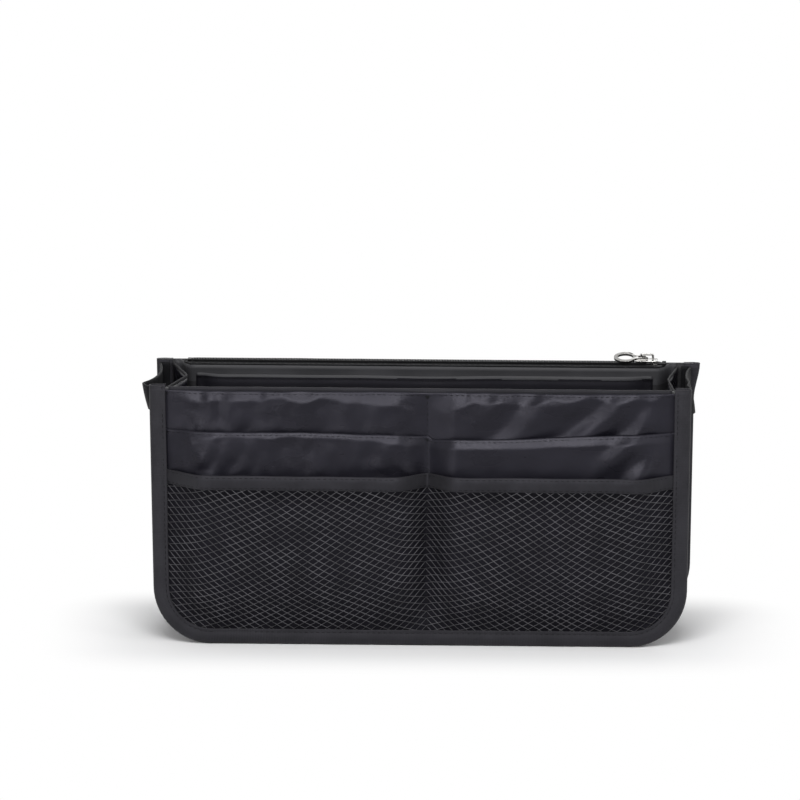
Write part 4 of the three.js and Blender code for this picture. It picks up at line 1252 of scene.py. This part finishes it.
class Zipper(bpy.types.Operator):
    """Make the zipper's tapes, teeth and stops."""

    bl_idname = "organizer.zipper"
    bl_label = "Zipper"

    def execute(self, context):
        """Build both halves of the zipper and its three stops."""
        for label, toward in (("front", FRONT), ("rear", REAR)):
            self.tape("zipper_tape_" + label, toward)
            self.teeth("zipper_teeth_" + label, toward)
        for node in ("zipper_stop_left", "zipper_stop_right_front", "zipper_stop_right_rear"):
            worn_by(piece(node + "_moulded", softened(node, STOP_ROUND, 3), "teeth"), "shell", node)
        return {"FINISHED"}

    def tape(self, node, toward):
        """One woven tape that opens beside the slider and narrows past the chain, sewn to the cloth below."""
        middle = middle_of(node, 2)
        thick = far(node, 2) - near(node, 2)
        reach = far(node, 0)
        outer = abs((near(node, 1) if toward < 0 else far(node, 1)) - ZIP_MIDDLE)

        def place(x, share):
            opening = smooth((x - ZIP_THROAT_START) / ZIP_THROAT_LENGTH)
            start = ZIP_SLIT + (ZIP_THROAT - ZIP_SLIT) * opening
            narrow = smooth((abs(x) - CHAIN_END) / ZIP_TAPE_END)
            end = outer * (1 - (1 - ZIP_TAPE_SHOULDER) * narrow)
            loose = smooth((share - 0.35) / 0.4) * (0.25 + 0.75 * abs(waver(x, 0, 20, 101.5 + toward)))
            sunk = 0.2 * MM * smooth((share - 0.85) / 0.15)
            aside = ZIP_MIDDLE + toward * (start + (end - start) * share)
            return Vector((x, aside, middle + 0.35 * MM * loose - sunk))

        def at(u, v):
            return place((2 * u - 1) * reach, v)

        bm = cloth_grid(at, (2 * reach, outer), columns=220, rows=10)
        tape = sheet_piece(node + "_woven", bm, "zip_tape", thick, "shell", node)
        line = [place(x, ZIP_TAPE_SEAM) + UP * thick / 2 for x in span(CHAIN_END, 120)]
        stitches(node + "_stitches", "shell", [(line, UP)])

    def teeth(self, node, toward):
        """One row of moulded teeth on their cord."""
        low, high = near(node, 2), far(node, 2)
        tip, back = (far(node, 1), near(node, 1))[::-toward]
        first, end = near(node, 0), far(node, 0)
        root = back - toward * TOOTH_CORD
        middle = (low + high) / 2
        count = round((end - first - TOOTH_WIDTH) / TOOTH_PITCH) + 1
        tooth = (TOOTH_WIDTH, abs(root - tip) + TOOTH_CORD / 2)
        blocks = [(first + TOOTH_WIDTH / 2 + i * TOOTH_PITCH, (root + tip) / 2, tooth) for i in range(count)]
        blocks.append(((first + end) / 2, (root + back) / 2, (end - first, abs(back - root))))
        bm = bmesh.new()
        for x, y, sides in blocks:
            shape = Matrix.Translation((x, y, middle)) @ Matrix.Diagonal((*sides, high - low, 1))
            bmesh.ops.create_cube(bm, size=1, matrix=shape)
        bmesh.ops.bevel(
            bm, geom=bm.edges[:], offset=TOOTH_ROUND, affect="EDGES", segments=2, profile=0.5, material=-1)
        worn_by(piece(node + "_moulded", bm, "teeth"), "shell", node)


class SliderAndPull(bpy.types.Operator):
    """Make the slider and the pull that hangs on it."""

    bl_idname = "organizer.slider_and_pull"
    bl_label = "Slider and pull"

    def execute(self, context):
        """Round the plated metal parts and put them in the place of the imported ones."""
        parts = (
            ("slider_body", "slider", 0.3 * MM), ("slider_bridge", "slider", 0.4 * MM),
            ("pull_tab", "pull", 0.42 * MM))
        for node, body, radius in parts:
            bm = softened(node, radius, 4)
            if body == "pull":
                self.roll(bm)
            worn_by(piece(node + "_plated", bm, "nickel"), body, node)
        return {"FINISHED"}

    def roll(self, bm):
        """Turns the pull about its length, its ring more than its eye, as it settles on the chain."""
        axis = Vector((0, ZIP_MIDDLE, middle_of("pull_tab", 2)))
        eye = far("pull_tab", 0)
        for vert in bm.verts:
            ring = rise(eye - vert.co.x, 5, 5)
            turn = Matrix.Rotation(math.radians(6 + 18 * ring), 3, "X")
            vert.co = axis + turn @ (vert.co - axis)


# Grab straps

def curve_through(points, steps):
    """Points along a smooth curve through the given ones."""
    line = []
    padded = [points[0], *points, points[-1]]
    for a, b, c, d in zip(padded, padded[1:], padded[2:], padded[3:]):
        for i in range(steps):
            t = i / steps
            bend = (2 * a - 5 * b + 4 * c - d) * t * t + (3 * b - a - 3 * c + d) * t ** 3
            line.append(b + ((c - a) * t + bend) / 2)
    return line + [points[-1]]


class GrabStraps(bpy.types.Operator):
    """Make the webbing straps that cross the gussets."""

    bl_idname = "organizer.grab_straps"
    bl_label = "Grab straps"

    def execute(self, context):
        """Build each side's strap with its tuck and lean."""
        for side, tuck, lean in ((LEFT, 1.3 * MM, 1.6 * MM), (RIGHT, 3.5 * MM, -1.1 * MM)):
            self.strap(side, tuck, lean)
        return {"FINISHED"}

    def strap(self, side, tuck, lean):
        """One strap, whose slack bows out and leans beside the front wall."""
        body = "handle_" + SIDE_NAMES[side]
        node = body + "_strap"
        low, high = near(node, 2), far(node, 2)
        line = curve_through([Vector((x * MM, MOUTH_MIDDLE + y * MM)) for x, y in STRAP_PATH], 6)
        last = len(line) - 1

        def at(u, v):
            point = line[round(u * last)]
            bowed = rise(point.x, 147.5, 5)
            up = 2 * v - 1
            curl = 0.3 * MM * (1 - up * up) * bowed
            x = point.x + (lean * up - tuck) * bowed + curl
            return Vector((side * x, point.y, low + (high - low) * v))

        bm = cloth_grid(at, (line_length(line), high - low), columns=last, rows=10)
        strap = piece(node + "_webbing", made_thick(bm, STRAP_THICK), "webbing")
        worn_by(strap, body, node)
        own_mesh(strap)
        line_length(line)


# Stage

class Stage(bpy.types.Operator):
    """Make the floor, the lights and the camera."""

    bl_idname = "organizer.stage"
    bl_label = "Stage"

    def execute(self, context):
        """Lay the floor, stand soft lamps round it and the camera at the photograph's angle."""
        scene = context.scene
        scene.view_settings.view_transform = "Standard"
        self.floor(scene)
        self.surroundings(scene)
        for name, place, aim, width, depth, power in LAMPS:
            lamp = bpy.data.lights.new(name, "AREA")
            lamp.shape = "RECTANGLE"
            lamp.size = width
            lamp.size_y = depth
            lamp.energy = power
            self.stand(scene, lamp, Vector(place), Vector((0, 0, aim)) - Vector(place))
        self.camera(scene)
        return {"FINISHED"}

    def stand(self, scene, data, place, way):
        """Stands a lamp or a camera at a place, looking along a way."""
        made = bpy.data.objects.new(data.name, data)
        scene.collection.objects.link(made)
        made.location = place
        made.rotation_euler = way.to_track_quat("-Z", "Y").to_euler()
        return made

    def floor(self, scene):
        """A wide pale floor that fades to white away from the object and keeps its shadow."""
        bm = bmesh.new()
        bmesh.ops.create_grid(bm, x_segments=8, y_segments=8, size=FLOOR_HALF)
        mesh = bpy.data.meshes.new("floor")
        bm.to_mesh(mesh)
        bm.free()
        floor = bpy.data.objects.new("floor", mesh)
        scene.collection.objects.link(floor)
        pale = (*scene.organizer_colours.floor, 1)
        material, tree, shader = finish_of(
            "Studio floor", Roughness=0.9, Specular_IOR_Level=0.1, Base_Color=pale)
        mesh.materials.append(material)
        split = add(tree, "SeparateXYZ", {0: add(tree, "TexCoord", {}).outputs["Object"]}).outputs
        aside = []
        for axis, half in ((0, HALF_WIDTH), (1, far("rear_binding", 1))):
            past = calc(tree, "SUBTRACT", calc(tree, "ABSOLUTE", split[axis]), half)
            aside.append(calc(tree, "MAXIMUM", past, 0.0))
        squares = calc(tree, "MULTIPLY_ADD", aside[0], aside[0], calc(tree, "MULTIPLY", aside[1], aside[1]))
        spread = {"Value": calc(tree, "SQRT", squares), "From Min": 0, "From Max": FLOOR_FADE}
        fade = add(tree, "MapRange", spread, interpolation_type="SMOOTHSTEP").outputs[0]
        seen = calc(tree, "MULTIPLY", fade, self.seen_rays(tree))
        white = add(tree, "Emission", {"Strength": 1})
        mix = add(tree, "MixShader", {0: seen, 1: shader.outputs[0], 2: white.outputs[0]})
        tree.links.new(mix.outputs[0], tree.nodes["Material Output"].inputs["Surface"])

    def seen_rays(self, tree):
        """1 for rays that see the background straight, mirrored or through glass."""
        path = add(tree, "LightPath", {}).outputs
        seen = calc(tree, "MAXIMUM", path["Is Camera Ray"], path["Is Glossy Ray"])
        return calc(tree, "MAXIMUM", seen, path["Is Transmission Ray"])

    def surroundings(self, scene):
        """Even white surroundings that light the object gently and are seen as white."""
        scene.world = bpy.data.worlds.new("Studio")
        scene.world.use_nodes = True
        tree = scene.world.node_tree
        background = tree.nodes["Background"]
        background.inputs["Color"].default_value = WHITE
        light = {"Value": self.seen_rays(tree), "To Min": WORLD_LIGHT, "To Max": 1.0}
        tree.links.new(add(tree, "MapRange", light).outputs[0], background.inputs["Strength"])

    def camera(self, scene):
        """A long lens at the photograph's angle, framed as the photograph is."""
        lens = bpy.data.cameras.new("camera")
        lens.sensor_width = SENSOR
        lens.lens = SENSOR * CAMERA_DISTANCE / (PHOTO_SIZE * METRES_PER_PIXEL)
        lens.clip_end = 100
        turn, lift = math.radians(PHOTO_AZIMUTH), math.radians(PHOTO_ELEVATION)
        back = Vector((math.sin(turn) * math.cos(lift), -math.cos(turn) * math.cos(lift), math.sin(lift)))
        scene.camera = self.stand(scene, lens, AIM + back * CAMERA_DISTANCE, -back)


class OrganizerPanel(bpy.types.Panel):
    """Sizes, colours and steps of the organizer."""

    bl_idname = "VIEW3D_PT_organizer"
    bl_label = "Purse organizer insert"
    bl_space_type = "VIEW_3D"
    bl_region_type = "UI"
    bl_category = "Organizer"

    def draw(self, context):
        """List the settings, then one button for each step."""
        for group in (context.scene.organizer_sizes, context.scene.organizer_colours):
            for label in group.bl_rna.properties.keys():
                if label not in ("rna_type", "name"):
                    self.layout.prop(group, label)
        for step in STEPS:
            self.layout.operator(step.bl_idname)


STEPS = (
    Stage, FrontWall, SlipPockets, NetPockets, EdgeBindings, RearWall, ZipPouch, Gussets, Zipper,
    SliderAndPull, GrabStraps)
CLASSES = (OrganizerSizes, OrganizerColours, *STEPS, OrganizerPanel)


def register():
    """Adds the settings, the steps and the panel to Blender."""
    for made in CLASSES:
        bpy.utils.register_class(made)
    bpy.types.Scene.organizer_sizes = PointerProperty(type=OrganizerSizes)
    bpy.types.Scene.organizer_colours = PointerProperty(type=OrganizerColours)


def unregister():
    """Takes the settings, the steps and the panel out again."""
    del bpy.types.Scene.organizer_sizes
    del bpy.types.Scene.organizer_colours
    for made in reversed(CLASSES):
        bpy.utils.unregister_class(made)


def main():
    """Makes every piece in order."""
    register()
    for step in STEPS:
        family, action = step.bl_idname.split(".")
        getattr(getattr(bpy.ops, family), action)()


if __name__ == "__main__":
    main()
